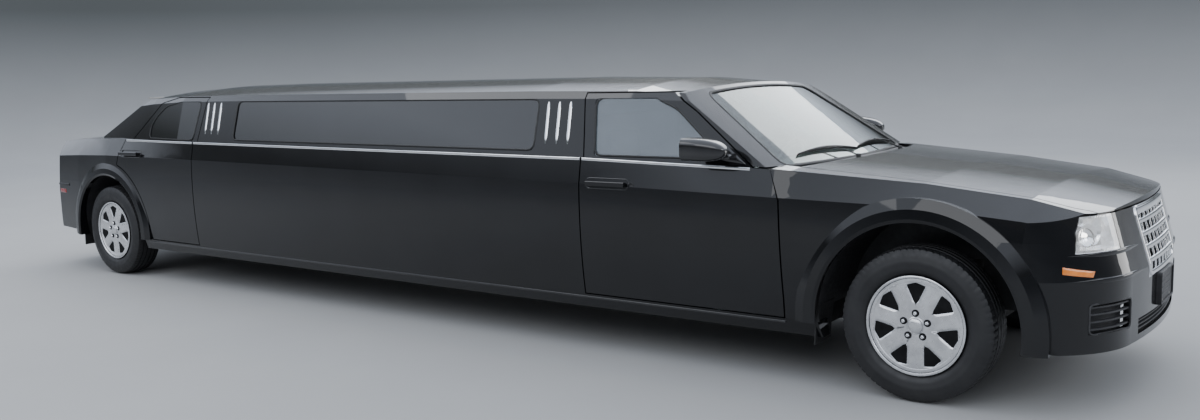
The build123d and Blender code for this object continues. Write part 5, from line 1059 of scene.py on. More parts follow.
# Copies of one swollen pad, each turned and moved to its place, with the piping of each.
def placePads(name, kind, places, node, levels=0):
    points, quads = padMeshes[kind]
    cords = []
    for number, (centre, turn) in enumerate(places):
        pad = makePiece(f"{name}.{number}", [(points @ turn.T + centre, quads, [])], "seatLeather", "car_body",
                        "seat_leather", node, 80, levels=levels)
        cords.append(pipingPart(points, quads, padValues[kind]["size"], turn, np.asarray(centre)))
    makePiece(f"{name}Piping", cords, "stitchThread")


padMeshes = swellPads(padValues, swell)
benchMiddles = rearAxle + np.array([1.4, 2.2, 3.0, 3.8])
flatTurn, sideTurn, sideUp = np.eye(3), turnTo((0, -1, 0), (0, 0, 1)), turnTo((0, 0, 1), (0, -1, 0))
frontLean, headLean, benchLean = (turnTo((-sin(a), 0, cos(a)), (cos(a), 0, sin(a))) for a in
                                  (radians(14), radians(10), radians(14)))
# where each kind of pad goes: its x and z, how far it stands to each side, its turn, its node and its smoothing
padPlaces = {
    "frontCushion": ("frontCushion", frontAxle - 1.560, 0.414, 0.385, flatTurn, "front_seats", 1),
    "frontBackrest": ("frontBack", frontAxle - 1.846, 0.722, 0.385, frontLean, "front_seats", 1),
    "frontHeadrest": ("headrest", frontAxle - 1.928, 1.100, 0.385, headLean, "front_seats", 1),
    "benchCushion": ("benchCushion", rearAxle + 0.540, 0.500, 0.310, flatTurn, "lounge_seats", 0),
    "benchBackrest": ("benchBack", rearAxle + 0.194, 0.790, 0.310, benchLean, "lounge_seats", 0),
}
for name, (kind, x, z, aside, turn, node, levels) in padPlaces.items():
    placePads(name, kind, [((x, y, z), turn) for y in (-aside, aside)], node, levels)
placePads("sideCushion", "sideCushion", [((x, 0.522, 0.474), sideTurn) for x in benchMiddles], "lounge_seats")
placePads("sideBackrest", "sideBack", [((x, 0.694, 0.742), sideUp) for x in benchMiddles], "lounge_seats")
print("limousine: padded seats done")


# what carries the seats
uprightTurn = turnTo((0, 0, 1), (1, 0, 0))
seatBaseValues = {"y": (-0.385, 0.385), "runner": (0.50, 0.034, 0.020), "shell": (0.47, 0.43, 0.086)}
parts, metal = [], []
for y in seatBaseValues["y"]:
    parts.append(roundedBox((frontAxle - 1.572, y, 0.3165), seatBaseValues["shell"], 0.020))
    parts.append(roundedBox((frontAxle - 1.842, y, 0.700), (0.052, 0.40, 0.56), 0.024, frontLean @ uprightTurn.T))
    for aside in (-0.180, 0.180):
        metal.append(roundedBox((frontAxle - 1.572, y + aside, 0.2685), seatBaseValues["runner"], 0.005))
        parts.append(roundedBox((frontAxle - 1.800, y + aside * 1.24, 0.430), (0.110, 0.030, 0.150), 0.013))
    for aside in (-0.055, 0.055):
        s = np.linspace(0, 1, 8)[:, None]
        post = (frontAxle - 1.914, y + aside, 1.000) * (1 - s) + (frontAxle - 1.931, y + aside, 1.075) * s
        metal.append(tube(post, 0.006, 12))
    parts.append(roundedBox((frontAxle - 1.70, y - 0.262 * np.sign(y), 0.440), (0.028, 0.018, 0.120), 0.007))
makePiece("frontSeatShells", parts, "blackPlastic", slot="interior_trim", replaces="front_seats")
makePiece("frontSeatMetal", metal, "brightChrome")


# A panelled base: an upright profile with a kick space and a rounded top edge, carried along a level path.
def plinthPart(path, depth, low, high):
    profile = np.array([(0, low), (depth - 0.05, low), (depth - 0.05, low + 0.05), (depth - 0.012, low + 0.065),
                        (depth - 0.012, high - 0.012), (depth - 0.020, high), (0, high)])
    path = np.asarray(path, float)
    along = np.gradient(path, axis=0)
    out = np.cross(along, (0, 0, 1.0))
    out = out / np.linalg.norm(out, axis=1, keepdims=True)
    return loft(path[:, None] + profile[None, :, 0, None] * out[:, None]
                + profile[None, :, 1, None] * np.array([0, 0, 1.0]))


s = np.linspace(0, 1, 12)
bench = xyz(rearAxle + 0.245, 0.62 - 1.24 * s, 0)[::-1]
side = xyz(rearAxle + 1.0 + 3.2 * s, 0.748, 0)
makePiece("loungePlinths", [plinthPart(bench, 0.585, 0.262, 0.440), plinthPart(side, 0.450, 0.262, 0.414)],
          "cabinetWood", bevel=0.002, replaces="lounge_seats")
shelf = roundedBox((rearAxle - 0.085, 0, 1.078), (0.360, 1.16, 0.024), 0.008)
backBoard = roundedBox((rearAxle + 0.118, 0, 0.760), (0.024, 1.22, 0.60), 0.008, benchLean @ uprightTurn.T)
makePiece("parcelShelf", [shelf, backBoard], "carpet")
print("limousine: seat bases done")

# dashboard, wheel and console
dashValues = {"top": 1.008, "hood": 0.030, "driver": 0.385, "stack": 0.115}
top = dashValues["top"]
profile = roundCorners([(-0.640, top), (-0.800, top), (-0.945, top - 0.006), (-1.000, top - 0.040),
                        (-0.975, top - 0.110), (-0.958, top - 0.190), (-0.965, top - 0.250), (-0.925, 0.700),
                        (-0.760, 0.694), (-0.640, 0.700)], 0.030, steps=4)
y = np.linspace(-0.735, 0.735, 90)[:, None]
driverBulge = np.exp(-((y - dashValues["driver"]) / 0.175) ** 4)
isLip = np.clip((profile[None, :, 1] - top + 0.060) / 0.05, 0, 1) * np.clip((-0.80 - profile[None, :, 0]) / 0.1, 0, 1)
stack = np.exp(-(y / 0.150) ** 6) * np.clip((top - 0.03 - profile[None, :, 1]) / 0.05, 0, 1) * (profile[None, :, 0] <
        -0.85)
dashX = (frontAxle + profile[None, :, 0] + 0.035 * (y / 0.735) ** 2 * (profile[None, :, 0] < -0.7)
         - 0.018 * driverBulge * isLip - 0.022 * stack)
dashZ = profile[None, :, 1] + dashValues["hood"] * driverBulge * isLip + 0 * y
dashPart = loft(xyz(dashX, y, dashZ))
shapeTriangles("dashShell", [dashPart])
makePiece("dashboardShell", [dashPart], "dashSkin", sharp=60, replaces="dashboard")


def faceX(y, z):
    return surfaceAt(["dashShell"], np.asarray(y, float), np.asarray(z, float), 0, -1)


# A frame round a vent and five blades across it, laid on the dashboard's face.
def ventParts(y, z, width, height):
    flat = evenly(rectangle(width, height, 0.010), 0.008, closed=True) + (y, z)
    x = faceX(np.array([y]), np.array([z]))[0]
    frameLoop = xyz(x - 0.003, flat[:, 0], flat[:, 1])
    parts = [sweep(frameLoop, ring(0.006, 0.009, 0.7, 8), (-1, 0, 0), closed=True)]
    across = np.linspace(y - width / 2, y + width / 2, 6)
    for level in np.linspace(z - height / 2, z + height / 2, 7)[1:-1]:
        parts.append(sweep(xyz(x + 0.002, across, level), ring(0.0025, 0.014, 0.8, 8), (-1, 0, 0.5)))
    back = np.stack(np.meshgrid([x + 0.010], across, np.linspace(z - height / 2, z + height / 2, 4), indexing="ij"),
                    -1)[0]
    parts.append(slab(back, back + (0.003, 0, 0)))
    return parts


vents = [part for y, z in ((-0.62, top - 0.080), (0.655, top - 0.080), (-0.060, top - 0.085), (0.060, top - 0.085))
         for part in ventParts(y, z, 0.105, 0.052)]
makePiece("dashVents", vents, "glossPlastic", slot="interior_trim")
dialAxis = np.array([-0.990, 0, 0.141])
dials, rims, needles = [], [], []
for y, radius in ((0.322, 0.050), (0.448, 0.050), (0.385, 0.024)):
    z = top - 0.070 + (0.030 if radius < 0.03 else 0)
    around = faceX(y + radius * np.array([0, 1, -1, 0, 0]), z + radius * np.array([0, 0, 0, 0.9, -1]))
    centre = np.array([around.min() - 0.006, y, z])
    dials.append(turned([(0.0002, 0.004), (radius, 0.004), (radius, 0.0), (0.0002, 0.0)], centre, dialAxis, 48))
    rims.append(turned([(radius, 0.0), (radius, 0.010), (radius + 0.003, 0.012), (radius + 0.006, 0.006),
                        (radius + 0.006, 0.0)], centre, dialAxis, 48, True))
    level = np.array([0.141, 0, 0.990])
    for k in range(13 if radius > 0.03 else 7):
        angle = radians(225 - 270 * k / (12 if radius > 0.03 else 6))
        way = cos(angle) * np.array([0, -1.0, 0]) + sin(angle) * level
        start = centre + dialAxis * 0.005 + way * radius * 0.80
        needles.append(sweep([start, start + way * radius * 0.12], ring(0.002, 0.001, 0.8, 8), dialAxis))
    way = cos(radians(200)) * np.array([0, -1.0, 0]) + sin(radians(200)) * level
    needles.append(sweep([centre + dialAxis * 0.006, centre + dialAxis * 0.006 + way * radius * 0.72],
                         ring(0.0028, 0.0016, 0.8, 8), dialAxis))
hoodArc = np.linspace(0.12, pi - 0.12, 30)
hood = xyz(centre[0] - 0.012, dashValues["driver"] + 0.140 * np.cos(hoodArc), top - 0.085 + 0.080
           * np.sin(hoodArc) ** 0.7)
makePiece("dialHood", [sweep(hood, ring(0.055, 0.010, 0.6, 14), (-0.05, 0, 1))], "dashSkin")
makePiece("dialFaces", dials, "dialFace")
makePiece("dialRims", rims, "brightChrome")
makePiece("dialMarks", needles, "glossPlastic")
screen = patchOn(["dashShell"], [(-0.105, top - 0.205), (0.105, top - 0.205), (0.105, top - 0.130),
                                 (-0.105, top - 0.130)], 0.004, 0, -1, (16, 8))
makePiece("radioFace", [screen], "glossPlastic", slot="interior_trim", bevel=0.001)
knobProfile = [(0.0002, 0.018), (0.011, 0.0175), (0.013, 0.016), (0.0145, 0.004), (0.017, 0.001), (0.0002, 0.0)]
knobs = [turned(knobProfile, (faceX([y], [top - 0.240])[0] + 0.001, y, top - 0.240), (-1, 0, 0), 28)
         for y in (-0.075, 0.0, 0.075)]
clockX = faceX([0, 0, 0], [top - 0.018, top - 0.048, top - 0.078]).min() - 0.003
clock = [turned([(0.0245, -0.004), (0.0245, 0.006), (0.028, 0.008), (0.031, 0.003), (0.031, -0.004)],
                (clockX, 0, top - 0.048), (-1, 0, 0.1), 40, True)]
makePiece("dashKnobs", knobs + clock, "brightChrome")
makePiece("clockFace", [turned([(0.0002, 0.003), (0.0245, 0.003), (0.0245, -0.003), (0.0002, -0.003)],
                               (clockX, 0, top - 0.048), (-1, 0, 0.1), 40)], "dialFace")
flat = evenly(rectangle(0.40, 0.150, 0.022), 0.015, closed=True) + (-0.385, top - 0.215)
makePiece("gloveboxGap", [sweep(xyz(faceX(flat[:, 0], flat[:, 1]) - 0.0003, flat[:, 0], flat[:, 1]),
                                ring(0.0035, 0.0025, 0.9, 8), (-1, 0, 0), closed=True)], "sealRubber")

wheelMiddle = np.array([frontAxle - 1.270, 0.385, 0.905]) - 0.013 * np.array([0.9, 0, -0.436])
columnWay, wheelUp = np.array([0.9, 0, -0.436]), np.array([0.436, 0, 0.9])
steeringValues = {"radius": 0.1755, "grip": (0.029, 0.026), "hub": 0.060, "spokes": (-28, 12, 168, 208)}
turnAngle = np.linspace(0, 2 * pi, 96, endpoint=False)[:, None]
loop = wheelMiddle + steeringValues["radius"] * (np.cos(turnAngle) * np.array([0, 1.0, 0]) + np.sin(turnAngle)
                                                 * wheelUp)
gripSize = 1 + 0.05 * np.cos(4 * turnAngle[:, 0])
rimPart = sweep(loop, ring(steeringValues["grip"][1], steeringValues["grip"][0], 1.0, 18), -columnWay, closed=True,
                size=gripSize)
wheelParts = []
for angle in steeringValues["spokes"]:
    way = cos(radians(angle)) * np.array([0, 1.0, 0]) + sin(radians(angle)) * wheelUp
    s = np.linspace(0, 1, 10)[:, None]
    reach = 0.045 + (steeringValues["radius"] - 0.045) * s
    path = wheelMiddle + reach * way + 0.012 * np.sin(pi * s) * columnWay
    wheelParts.append(sweep(path, ring(0.026, 0.013, 0.7, 14), -columnWay, size=1 - 0.25 * np.sin(pi * s[:, 0])))
hub = [(0.0002, -0.024), (0.030, -0.022), (0.050, -0.016), (0.060, -0.004), (0.058, 0.010), (0.040, 0.022),
       (0.030, 0.060)]
column = [(0.030, 0.05), (0.040, 0.085), (0.047, 0.12), (0.047, 0.24), (0.030, 0.262), (0.0002, 0.262),
          (0.0002, -0.020)]
wheelParts.append(turned(hub + [(0.0002, 0.060)], wheelMiddle, columnWay, 48))
wheelParts.append(turned(column, wheelMiddle, columnWay, 40, True))
for aside in (-1, 1):
    root = wheelMiddle + 0.125 * columnWay + np.array([0, 0.042 * aside, 0])
    s = np.linspace(0, 1, 8)[:, None]
    wheelParts.append(tube(root + s * np.array([-0.02, 0.115 * aside, 0.015]), 0.006, 12, size=0.8 + 0.5
                           * s[:, 0] ** 3))
makePiece("steeringRim", [rimPart], "seatLeather", sharp=80, replaces="dashboard")
makePiece("steeringHub", wheelParts, "dashSkin")

consoleX = np.linspace(frontAxle - 2.02, frontAxle - 0.955, 40)
consoleHeight = np.interp(consoleX - frontAxle, [-2.02, -1.98, -1.75, -1.70, -1.35, -1.10, -0.955],
                          [0.42, 0.56, 0.57, 0.515, 0.51, 0.60, 0.70])
consoleSection = ring(0.205, 1.0, 0.35, 28)
console = loft(xyz(consoleX[:, None], consoleSection[None, :, 0], 0.262 + (consoleHeight[:, None] - 0.262)
                   * (consoleSection[None, :, 1] + 0.5)))
armRest = roundedBox((frontAxle - 1.860, 0, 0.585), (0.26, 0.19, 0.05), 0.022)
makePiece("console", [console, armRest], "dashSkin", sharp=60)
lever = [turned([(0.030, 0.0), (0.027, 0.012), (0.012, 0.045), (0.006, 0.05), (0.006, 0.105), (0.015, 0.115),
                 (0.019, 0.135), (0.014, 0.152), (0.0002, 0.156), (0.0002, 0.0)], (frontAxle - 1.26, 0, 0.520),
                (-0.12, 0, 1), 28)]
cups = [turned([(0.036, 0.0), (0.0395, 0.003), (0.0415, 0.0), (0.0395, -0.002)], (frontAxle - x, 0, 0.515), (0, 0, 1),
               40, True) for x in (1.42, 1.51)]
makePiece("consoleMetal", lever + cups, "brightChrome")
pedals = [roundedBox((frontAxle - 0.900, y, 0.400), (0.018, width, 0.075), 0.007) for y, width in ((0.30, 0.055),
        (0.42, 0.11))]
pedals += [tube(xyz(np.linspace(frontAxle - 0.89, frontAxle - 0.68, 6), y, np.linspace(0.42, 0.70, 6)), 0.008, 10)
           for y in (0.30, 0.42)]
makePiece("pedals", pedals, "blackPlastic")
print("limousine: dashboard done")

# partition, cabinet and what stands on it


# A board with an opening: front and back rings between two loops of equal length, joined round both edges.
def framePart(x0, x1, outer, inner):
    outer, inner = np.asarray(outer, float), np.asarray(inner, float)
    rows = [(x0, outer), (x0, inner), (x1, inner), (x1, outer)]
    points = np.stack([xyz(np.full(len(p), x), p[:, 0], p[:, 1]) for x, p in rows], axis=1)
    return points.reshape(-1, 3), gridQuads(len(outer), 4, True, True), []


partitionValues = {"x": (frontAxle - 2.129, frontAxle - 2.091), "outer": (1.456, 1.066, 0.797),
                   "inner": (1.000, 0.400, 1.060)}
(width, height, middleZ), (gapWidth, gapHeight, gapZ) = partitionValues["outer"], partitionValues["inner"]
board = framePart(*partitionValues["x"], rectangle(width, height, 0.06, 8) + (0, middleZ),
                  rectangle(gapWidth, gapHeight, 0.04, 8) + (0, gapZ))
makePiece("partitionBoard", [board], "dashSkin", sharp=50, bevel=0.004, replaces="partition")
pane = plate(frontAxle - 2.113, 0.006, rectangle(gapWidth + 0.01, gapHeight + 0.01, 0.03), (0, gapZ))
makePiece("partitionGlass", [pane], "darkGlass")
flat = evenly(rectangle(gapWidth, gapHeight, 0.04, 8), 0.03, closed=True) + (0, gapZ)
edges = [sweep(xyz(x, flat[:, 0], flat[:, 1]), ring(0.016, 0.010, 0.7, 10), (way, 0, 0), closed=True) for x,
         way in ((frontAxle - 2.130, -1), (frontAxle - 2.090, 1))]
makePiece("partitionTrim", edges, "brightChrome")
panels = [slab(np.stack(np.meshgrid([frontAxle - 2.131], np.linspace(y - 0.20, y + 0.20, 8), np.linspace(0.34, 0.78,
        8), indexing="ij"), -1)[0] - (0.006, 0, 0),
               np.stack(np.meshgrid([frontAxle - 2.129], np.linspace(y - 0.21, y + 0.21, 8), np.linspace(0.33, 0.79,
        8), indexing="ij"), -1)[0]) for y in (-0.46, 0.0, 0.46)]
makePiece("partitionPanels", panels, "cabinetWood", bevel=0.002)

cabinetValues = {"x": (rearAxle + 1.502, rearAxle + 3.898), "back": -0.748, "front": -0.472, "wave": 0.032,
                 "top": 0.758}
s = np.linspace(0, 1, 80)[:, None]
cabinetX = cabinetValues["x"][0] + (cabinetValues["x"][1] - cabinetValues["x"][0]) * s
wave = cabinetValues["wave"] * 0.5 * (1 - np.cos(4 * pi * s))
outline = [(0, 0.263), (0.230, 0.263), (0.230, 0.330), (0.258, 0.345), (0.258, 0.708), (0.276, 0.716), (0.276, 0.748),
           (0.268, 0.758), (0, 0.758)]
depth, rise = np.array(outline)[None, :, 0], np.array(outline)[None, :, 1]
carcass = loft(xyz(cabinetX, cabinetValues["back"] + depth - wave * (depth > 0), rise))
makePiece("cabinetCarcass", [carcass], "cabinetWood", sharp=30, bevel=0.0015, replaces="bar_cabinet")
edge = xyz(cabinetX[:, 0], cabinetValues["front"] - wave[:, 0] + 0.0005, 0.732)
lamp = edge + (0, -0.030, -0.031)
makePiece("counterEdge", [sweep(edge, ring(0.020, 0.005, 0.7, 10), (0, 1, 0))], "brightChrome")
makePiece("counterLight", [sweep(lamp, ring(0.008, 0.008, 0.8, 8), (0, 1, 0))], "glowStrip")
grooves, pulls = [], []
for k in range(1, 8):
    x = cabinetValues["x"][0] + 2.396 * k / 8
    y = cabinetValues["front"] - 0.018 - cabinetValues["wave"] * 0.5 * (1 - cos(4 * pi * k / 8))
    upright = np.linspace(0.352, 0.700, 8)
    grooves.append(sweep(xyz(x, y + 0.0002, upright), ring(0.004, 0.002, 0.9, 8), (0, 1, 0)))
    if k % 2:
        for aside in (-0.04, 0.04):
            pulls.append(roundedBox((x + aside, y + 0.010, 0.60), (0.014, 0.014, 0.090), 0.006))
makePiece("cabinetGrooves", grooves, "sealRubber")
makePiece("cabinetPulls", pulls, "brightChrome")
tumbler = [(0.0002, 0.006), (0.026, 0.006), (0.031, 0.085), (0.0325, 0.085), (0.0285, 0.0), (0.0002, 0.0)]
decanter = [(0.0002, 0.0), (0.046, 0.0), (0.050, 0.01), (0.050, 0.10), (0.040, 0.135), (0.016, 0.155), (0.014, 0.19),
            (0.019, 0.195), (0.016, 0.20), (0.020, 0.215), (0.0002, 0.232)]
glasses = [turned(tumbler, (rearAxle + x, y, 0.7585), (0, 0, 1), 28) for x in np.linspace(1.75, 2.55, 8)
           for y in (-0.665, -0.590)]
glasses += [turned(decanter, (rearAxle + x, -0.63, 0.7585), (0, 0, 1), 32) for x in (2.85, 3.02, 3.62)]
makePiece("glassware", glasses, "drinkGlass", sharp=30)
bucket = [(0.0002, 0.010), (0.072, 0.010), (0.088, 0.150), (0.092, 0.156), (0.096, 0.150), (0.080, 0.0),
          (0.0002, 0.0)]
makePiece("iceBuckets", [turned(bucket, (rearAxle + x, -0.62, 0.7585), (0, 0, 1), 40) for x in (1.62, 3.34)],
          "brightChrome", sharp=30)
print("limousine: partition and cabinet done")

# ceiling, carpet, door trims and boot
u, v = grid((rearAxle + 0.16, frontAxle - 1.42, 60), (-0.60, 0.60, 25))
under = surfaceAt(["roof_panel"], u, v, 2, -1)
ceiling = xyz(u, v, under - 0.004)
makePiece("headlining", [slab(ceiling, ceiling - (0, 0, 0.008))], "headlining")
strips, panelsAbove = [], []
x = np.linspace(rearAxle + 0.45, frontAxle - 2.35, 50)
for y in (-0.46, 0.46):
    z = surfaceAt(["roof_panel"], x, y + 0 * x, 2, -1) - 0.017
    strips.append(sweep(xyz(x, y, z), ring(0.022, 0.012, 0.7, 10), (0, 0, -1)))
makePiece("ceilingLights", strips, "glowStrip")
for x in (rearAxle + 1.10, rearAxle + 2.30, rearAxle + 3.50):
    uu, vv = grid((x - 0.52, x + 0.52, 14), (-0.30, 0.30, 10))
    z = surfaceAt(["roof_panel"], uu, vv, 2, -1) - 0.0125
    face = xyz(uu, vv, z)
    panelsAbove.append(slab(face, face - (0, 0, 0.006)))
makePiece("ceilingPanels", panelsAbove, "mirrorGlass", bevel=0.002)
u, v = grid((rearAxle + 0.79, frontAxle - 0.66, 90), (-0.735, 0.735, 30))
pile = surfaceAt(["floor_pan"], u, v, 2, 1) + 0.0045 + 0.0006 * np.sin(61 * u) * np.sin(53 * v)
floorTop = xyz(u, v, pile)
makePiece("floorCarpet", [slab(floorTop, floorTop - (0, 0, 0.004))], "carpet")

trimValues = {
    "front": {"armX": frontAxle - 1.42, "speakerAside": 0.26, "axle": frontAxle,
              "corners": [(-1.785, 0.400), (-0.790, 0.400), (-0.800, 1.010), (-1.785, 1.035)]},
    "rear": {"armX": rearAxle + 0.74, "speakerAside": 0.04, "axle": rearAxle,
             "corners": [(0.560, 0.400), (1.080, 0.400), (1.110, 1.050), (0.380, 1.050)]},
}
speakerCone = [(0.0002, 0.024), (0.060, 0.022), (0.072, 0.025), (0.078, 0.019), (0.078, 0.004), (0.0002, 0.004)]
for endName, one in trimValues.items():
    node, body, armX = [f"{endName}_door_right"], f"{endName}_door_{{}}", one["armX"]
    skin = patchOn(node, [(one["axle"] + x, z) for x, z in one["corners"]], 0.014, 1, 1, (40, 26), edge=14)
    armY = surfaceAt(node, np.array([armX]), np.array([0.72]), 1, 1)[0]
    arm = roundedBox((armX, armY + 0.030, 0.715), (0.36, 0.065, 0.052), 0.022)
    handle = roundedBox((armX + 0.02, armY + 0.022, 0.845), (0.115, 0.020, 0.030), 0.009)
    x = armX + one["speakerAside"]
    y = surfaceAt(node, x + np.array([0, 0.08, -0.08, 0, 0]), 0.52 + np.array([0, 0, 0, 0.08, -0.08]), 1, 1).max()
    makePair(f"{endName}DoorTrim", [skin, arm], "dashSkin", body, sharp=50)
    makePair(f"{endName}DoorFittings", [handle, turned(speakerCone, (x, y, 0.52), (0, 1, 0), 40)], "castMetal", body,
             "bright_chrome")
y = np.array([-0.545, -0.54, -0.53, -0.51, 0.51, 0.53, 0.54, 0.545])
z = np.array([0.800, 0.60, 0.50, 0.447, 0.447, 0.50, 0.60, 0.800])
across = evenly(np.stack([y, z], axis=-1), 0.04)
s = np.linspace(-4.085, -3.330, 18)
tray = xyz(s[:, None], across[None, :, 0], across[None, :, 1])
inward = np.array([0, 0, 0.006])
makePiece("bootLining", [slab(tray + inward, tray)], "carpet")
print("limousine: trims and carpets done")

# engine bay
engineValues = {"x": (frontAxle - 0.440, frontAxle + 0.370), "ribs": 7}
section = roundCorners([(-0.150, 0.306), (0.150, 0.306), (0.190, 0.420), (0.295, 0.600), (0.290, 0.740),
                        (0.225, 0.828), (-0.225, 0.828), (-0.290, 0.740), (-0.295, 0.600), (-0.190, 0.420)], 0.035,
                       steps=4)
x = np.linspace(*engineValues["x"], 34)
grow = 1 - 0.035 * (np.sin(18 * pi * (x - x[0]) / (x[-1] - x[0])) > 0.3) - 0.05 * (np.abs(x - x.mean()) > 0.37)
bulkPart = loft(xyz(x[:, None], section[None, :, 0] * grow[:, None], 0.567 + (section[None, :, 1] - 0.567)
                    * grow[:, None]))
makePiece("engineCasting", [bulkPart], "castMetal", sharp=35, bevel=0.003, replaces="engine_block")
u, v = grid((-1, 1, 30), (-1, 1, 60))
coverTop = (0.842 + 0.034 * (1 - np.abs(u) ** 6) * (1 - np.abs(v) ** 6)
            - 0.004 * (np.cos(engineValues["ribs"] * pi * v) > 0.55) * (np.abs(u) < 0.8))
coverFace = xyz(frontAxle - 0.035 + 0.36 * u, 0.245 * v, coverTop)
coverBase = coverFace.copy()
coverBase[..., 2] = 0.820
intake = tube(xyz(frontAxle + 0.34 + 0.10 * np.linspace(0, 1, 12), 0.10 + 0.26 * np.linspace(0, 1, 12) ** 1.5,
                  0.80), 0.034, 18)
cap = turned([(0.0002, 0.030), (0.022, 0.029), (0.026, 0.024), (0.026, 0.004), (0.030, 0.0), (0.0002, 0.0)],
             (frontAxle + 0.22, -0.15, 0.868), (0, 0, 1), 28)
makePiece("engineCover", [slab(coverFace, coverBase), intake, cap], "blackPlastic", sharp=35)
boxes = [roundedBox((frontAxle + 0.450, 0.450, 0.750), (0.200, 0.170, 0.150), 0.022),
         roundedBox((frontAxle + 0.440, -0.450, 0.735), (0.220, 0.165, 0.150), 0.012),
         roundedBox((frontAxle + 0.440, -0.450, 0.816), (0.225, 0.170, 0.018), 0.006),
         roundedBox((frontAxle + 0.445, 0.0, 0.860 - 0.012), (0.05, 0.66, 0.024), 0.008)]
boxes += [roundedBox((frontAxle + 0.45, aside * 0.45, 0.665), (0.24, 0.19, 0.012), 0.004) for aside in (-1, 1)]
boxes += [roundedBox((frontAxle + 0.530, aside * 0.45, 0.560), (0.020, 0.19, 0.220), 0.006) for aside in (-1, 1)]
makePiece("bayBoxes", boxes, "blackPlastic")
posts = [turned([(0.0002, 0.022), (0.008, 0.021), (0.009, 0.0), (0.0002, 0.0)], (frontAxle + 0.40, y, 0.823),
                (0, 0, 1), 18) for y in (-0.50, -0.40)]
fanX = frontAxle + 0.560
fans = []
for y in (-0.165, 0.165):
    fans.append(turned([(0.150, 0.0), (0.158, 0.0), (0.158, 0.028), (0.150, 0.028)], (fanX, y, 0.58), (1, 0, 0), 48,
                       True))
    fans.append(turned([(0.0002, -0.006), (0.030, 0.0), (0.034, 0.026), (0.0002, 0.026)], (fanX, y, 0.58), (1, 0, 0),
                       28))
    for k in range(9):
        angle = 2 * pi * k / 9
        reach = np.linspace(0.030, 0.146, 6)[:, None]
        blade = np.array([fanX + 0.014, y, 0.58]) + reach * np.array([0, cos(angle), sin(angle)])
        fans.append(sweep(blade, ring(0.034, 0.004, 0.8, 8), (0.8, -0.6 * sin(angle), 0.6 * cos(angle))))
makePiece("radiatorFans", fans, "blackPlastic")
s = np.linspace(0, 1, 24)[:, None]
hose = (np.array([frontAxle + 0.36, -0.12, 0.72]) * (1 - s) ** 2
        + 2 * s * (1 - s) * np.array([frontAxle + 0.47, -0.14, 0.86])
        + s ** 2 * np.array([frontAxle + 0.592, -0.26, 0.80]))
lowPipe = hose * (1, -1, 1) + (0, 0, -0.24)
makePiece("coolantPipes", [tube(hose, 0.019, 16), tube(lowPipe, 0.019, 16)] + posts, "sealRubber")
fins = []
finX = frontAxle + 0.6305
for y in np.linspace(-0.325, 0.325, 27):
    z = np.linspace(0.315, 0.845, 4)
    fins.append(sweep(xyz(finX, y, z), ring(0.010, 0.004, 0.8, 8), (1, 0, 0)))
for y in (-0.348, 0.348):
    z = np.linspace(0.305, 0.856, 6)
    fins.append(sweep(xyz(frontAxle + 0.610, y, z), ring(0.040, 0.050, 0.5, 12), (1, 0, 0)))
makePiece("radiatorFins", fins, "castMetal")
print("limousine: engine bay done")

# stage and camera

cameraValues = {"place": (5.1315, -5.555, 1.540), "yaw": 36.59, "pitch": -7.42, "roll": -1.64, "lens": 32.77}


# Camera axes: level right and forward turned by the yaw, tilted by the pitch and then rolled.
def aimCamera(values):
    yaw, pitch, roll = (radians(values[k]) for k in ("yaw", "pitch", "roll"))
    right = np.array([cos(yaw), sin(yaw), 0])
    ahead = np.array([-sin(yaw), cos(yaw), 0])
    top = np.array([0, 0, 1.0])
    forward = cos(pitch) * ahead + sin(pitch) * top
    upward = -sin(pitch) * ahead + cos(pitch) * top
    across = cos(roll) * right + sin(roll) * upward
    upright = -sin(roll) * right + cos(roll) * upward
    lens = bpy.data.cameras.new("camera")
    lens.lens, lens.sensor_width, lens.clip_end = values["lens"], 36.0, 200.0
    camera = bpy.context.scene.camera = addObject("camera", lens)
    rows = np.stack([across, upright, -forward, np.array(values["place"])], axis=-1)
    camera.matrix_world = Matrix([*rows.tolist(), [0, 0, 0, 1]])


# A wide level sheet whose far edge curves up: z = 9 ((|p| - 16) / 9)^2 beyond 16 metres.
def makeFloor():
    radius = np.concatenate([np.linspace(0.001, 16, 24), np.linspace(16.4, 22, 20)])[:, None]
    angle = np.linspace(0, 2 * pi, 96, endpoint=False)[None]
    z = 9 * (np.clip(radius - 16, 0, None) / 9) ** 2 + 0 * angle
    points = xyz(radius * np.cos(angle), radius * np.sin(angle), z)
    mesh = bpy.data.meshes.new("studioFloor")
    mesh.from_pydata(points.reshape(-1, 3), [], gridQuads(44, 96, False, True)[:, ::-1].tolist())
    mesh.polygons.foreach_set("use_smooth", np.ones(len(mesh.polygons), bool))
    # Its dust entry is no dust: it darkens the floor's rising edge towards its top, from 0.05 to 3.2 metres up.
    look = {"dark": (0.31, 0.31, 0.307), "light": (0.325, 0.325, 0.32), "shadeScale": 0.7, "rough": (0.7, 0.85),
            "roughScale": 0.01, "grain": ("fine", 90.0, 0.12, 0.002), "dust": (3.2, 0.05, (0.07, 0.075, 0.072), 2.0)}
    mesh.materials.append(makeFinish("studioFloorFinish", look))
    addObject("studioFloor", mesh)


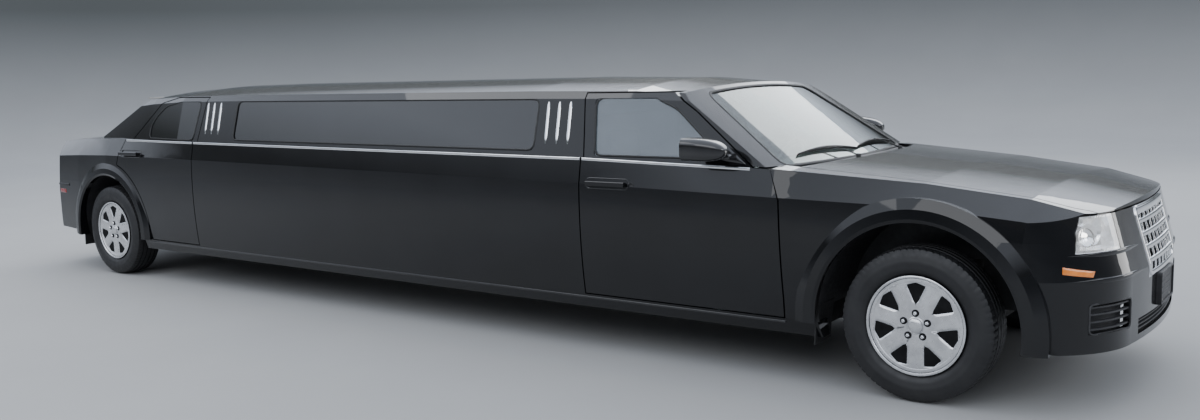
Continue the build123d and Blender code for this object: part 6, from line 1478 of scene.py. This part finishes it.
lightValues = (
    ("topSoftbox", (-3.5, 0.0, 6.5), (-3.5, 0, 0), (3.8, 18.0), 420.0, (1.0, 1.0, 1.0)),
    ("sideSoftbox", (2.5, -9.0, 5.2), (0.5, 0, 0.8), (9.0, 2.8), 150.0, (1.0, 0.99, 0.97)),
    ("noseSoftbox", (10.5, -1.0, 4.2), (3.5, 0, 0.8), (4.5, 2.0), 120.0, (0.96, 0.98, 1.0)),
    ("screenSoftbox", (0.6, 9.0, 6.2), (1.6, 0, 1.1), (12.0, 3.4), 420.0, (0.97, 0.99, 1.0)),
    ("grilleSoftbox", (10.0, 6.5, 1.7), (4.0, 0, 0.7), (3.0, 2.4), 100.0, (1.0, 1.0, 1.0)),
)
skyStops = ((0.19, (0.06, 0.065, 0.065, 1)), (0.32, (0.80, 0.87, 1.0, 1)))
skyStrength = 1.7


# Large area lights, each aimed along the line from its place to its target, and a sky that pales with height.
def makeLights():
    for name, place, target, size, power, colour in lightValues:
        light = bpy.data.lights.new(name, "AREA")
        light.shape, light.size, light.size_y, light.energy, light.color = "RECTANGLE", *size, power, colour
        lamp = addObject(name, light)
        away = np.array(place) - np.array(target)
        away = away / np.linalg.norm(away)
        side = np.cross((0, 0, 1.0) if abs(away[2]) < 0.99 else (0, 1.0, 0), away)
        side = side / np.linalg.norm(side)
        rows = np.stack([side, np.cross(away, side), away, np.array(place)], axis=-1)
        lamp.matrix_world = Matrix([*rows.tolist(), [0, 0, 0, 1]])
    world = bpy.data.worlds.new("studio")
    world.use_nodes = True
    tree = world.node_tree
    place = addNode(tree, "TexCoord", {})
    height = addNode(tree, "SeparateXYZ", {"Vector": place.outputs["Generated"]})
    ramp = addNode(tree, "ValToRGB", {"Fac": height.outputs["Z"]})
    for stop, (at, colour) in zip(ramp.color_ramp.elements, skyStops):
        stop.position, stop.color = at, colour
    tree.links.new(ramp.outputs["Color"], tree.nodes["Background"].inputs["Color"])
    tree.nodes["Background"].inputs["Strength"].default_value = skyStrength
    bpy.context.scene.world = world


aimCamera(cameraValues)
makeFloor()
makeLights()
print("limousine: stage, lights and camera done")
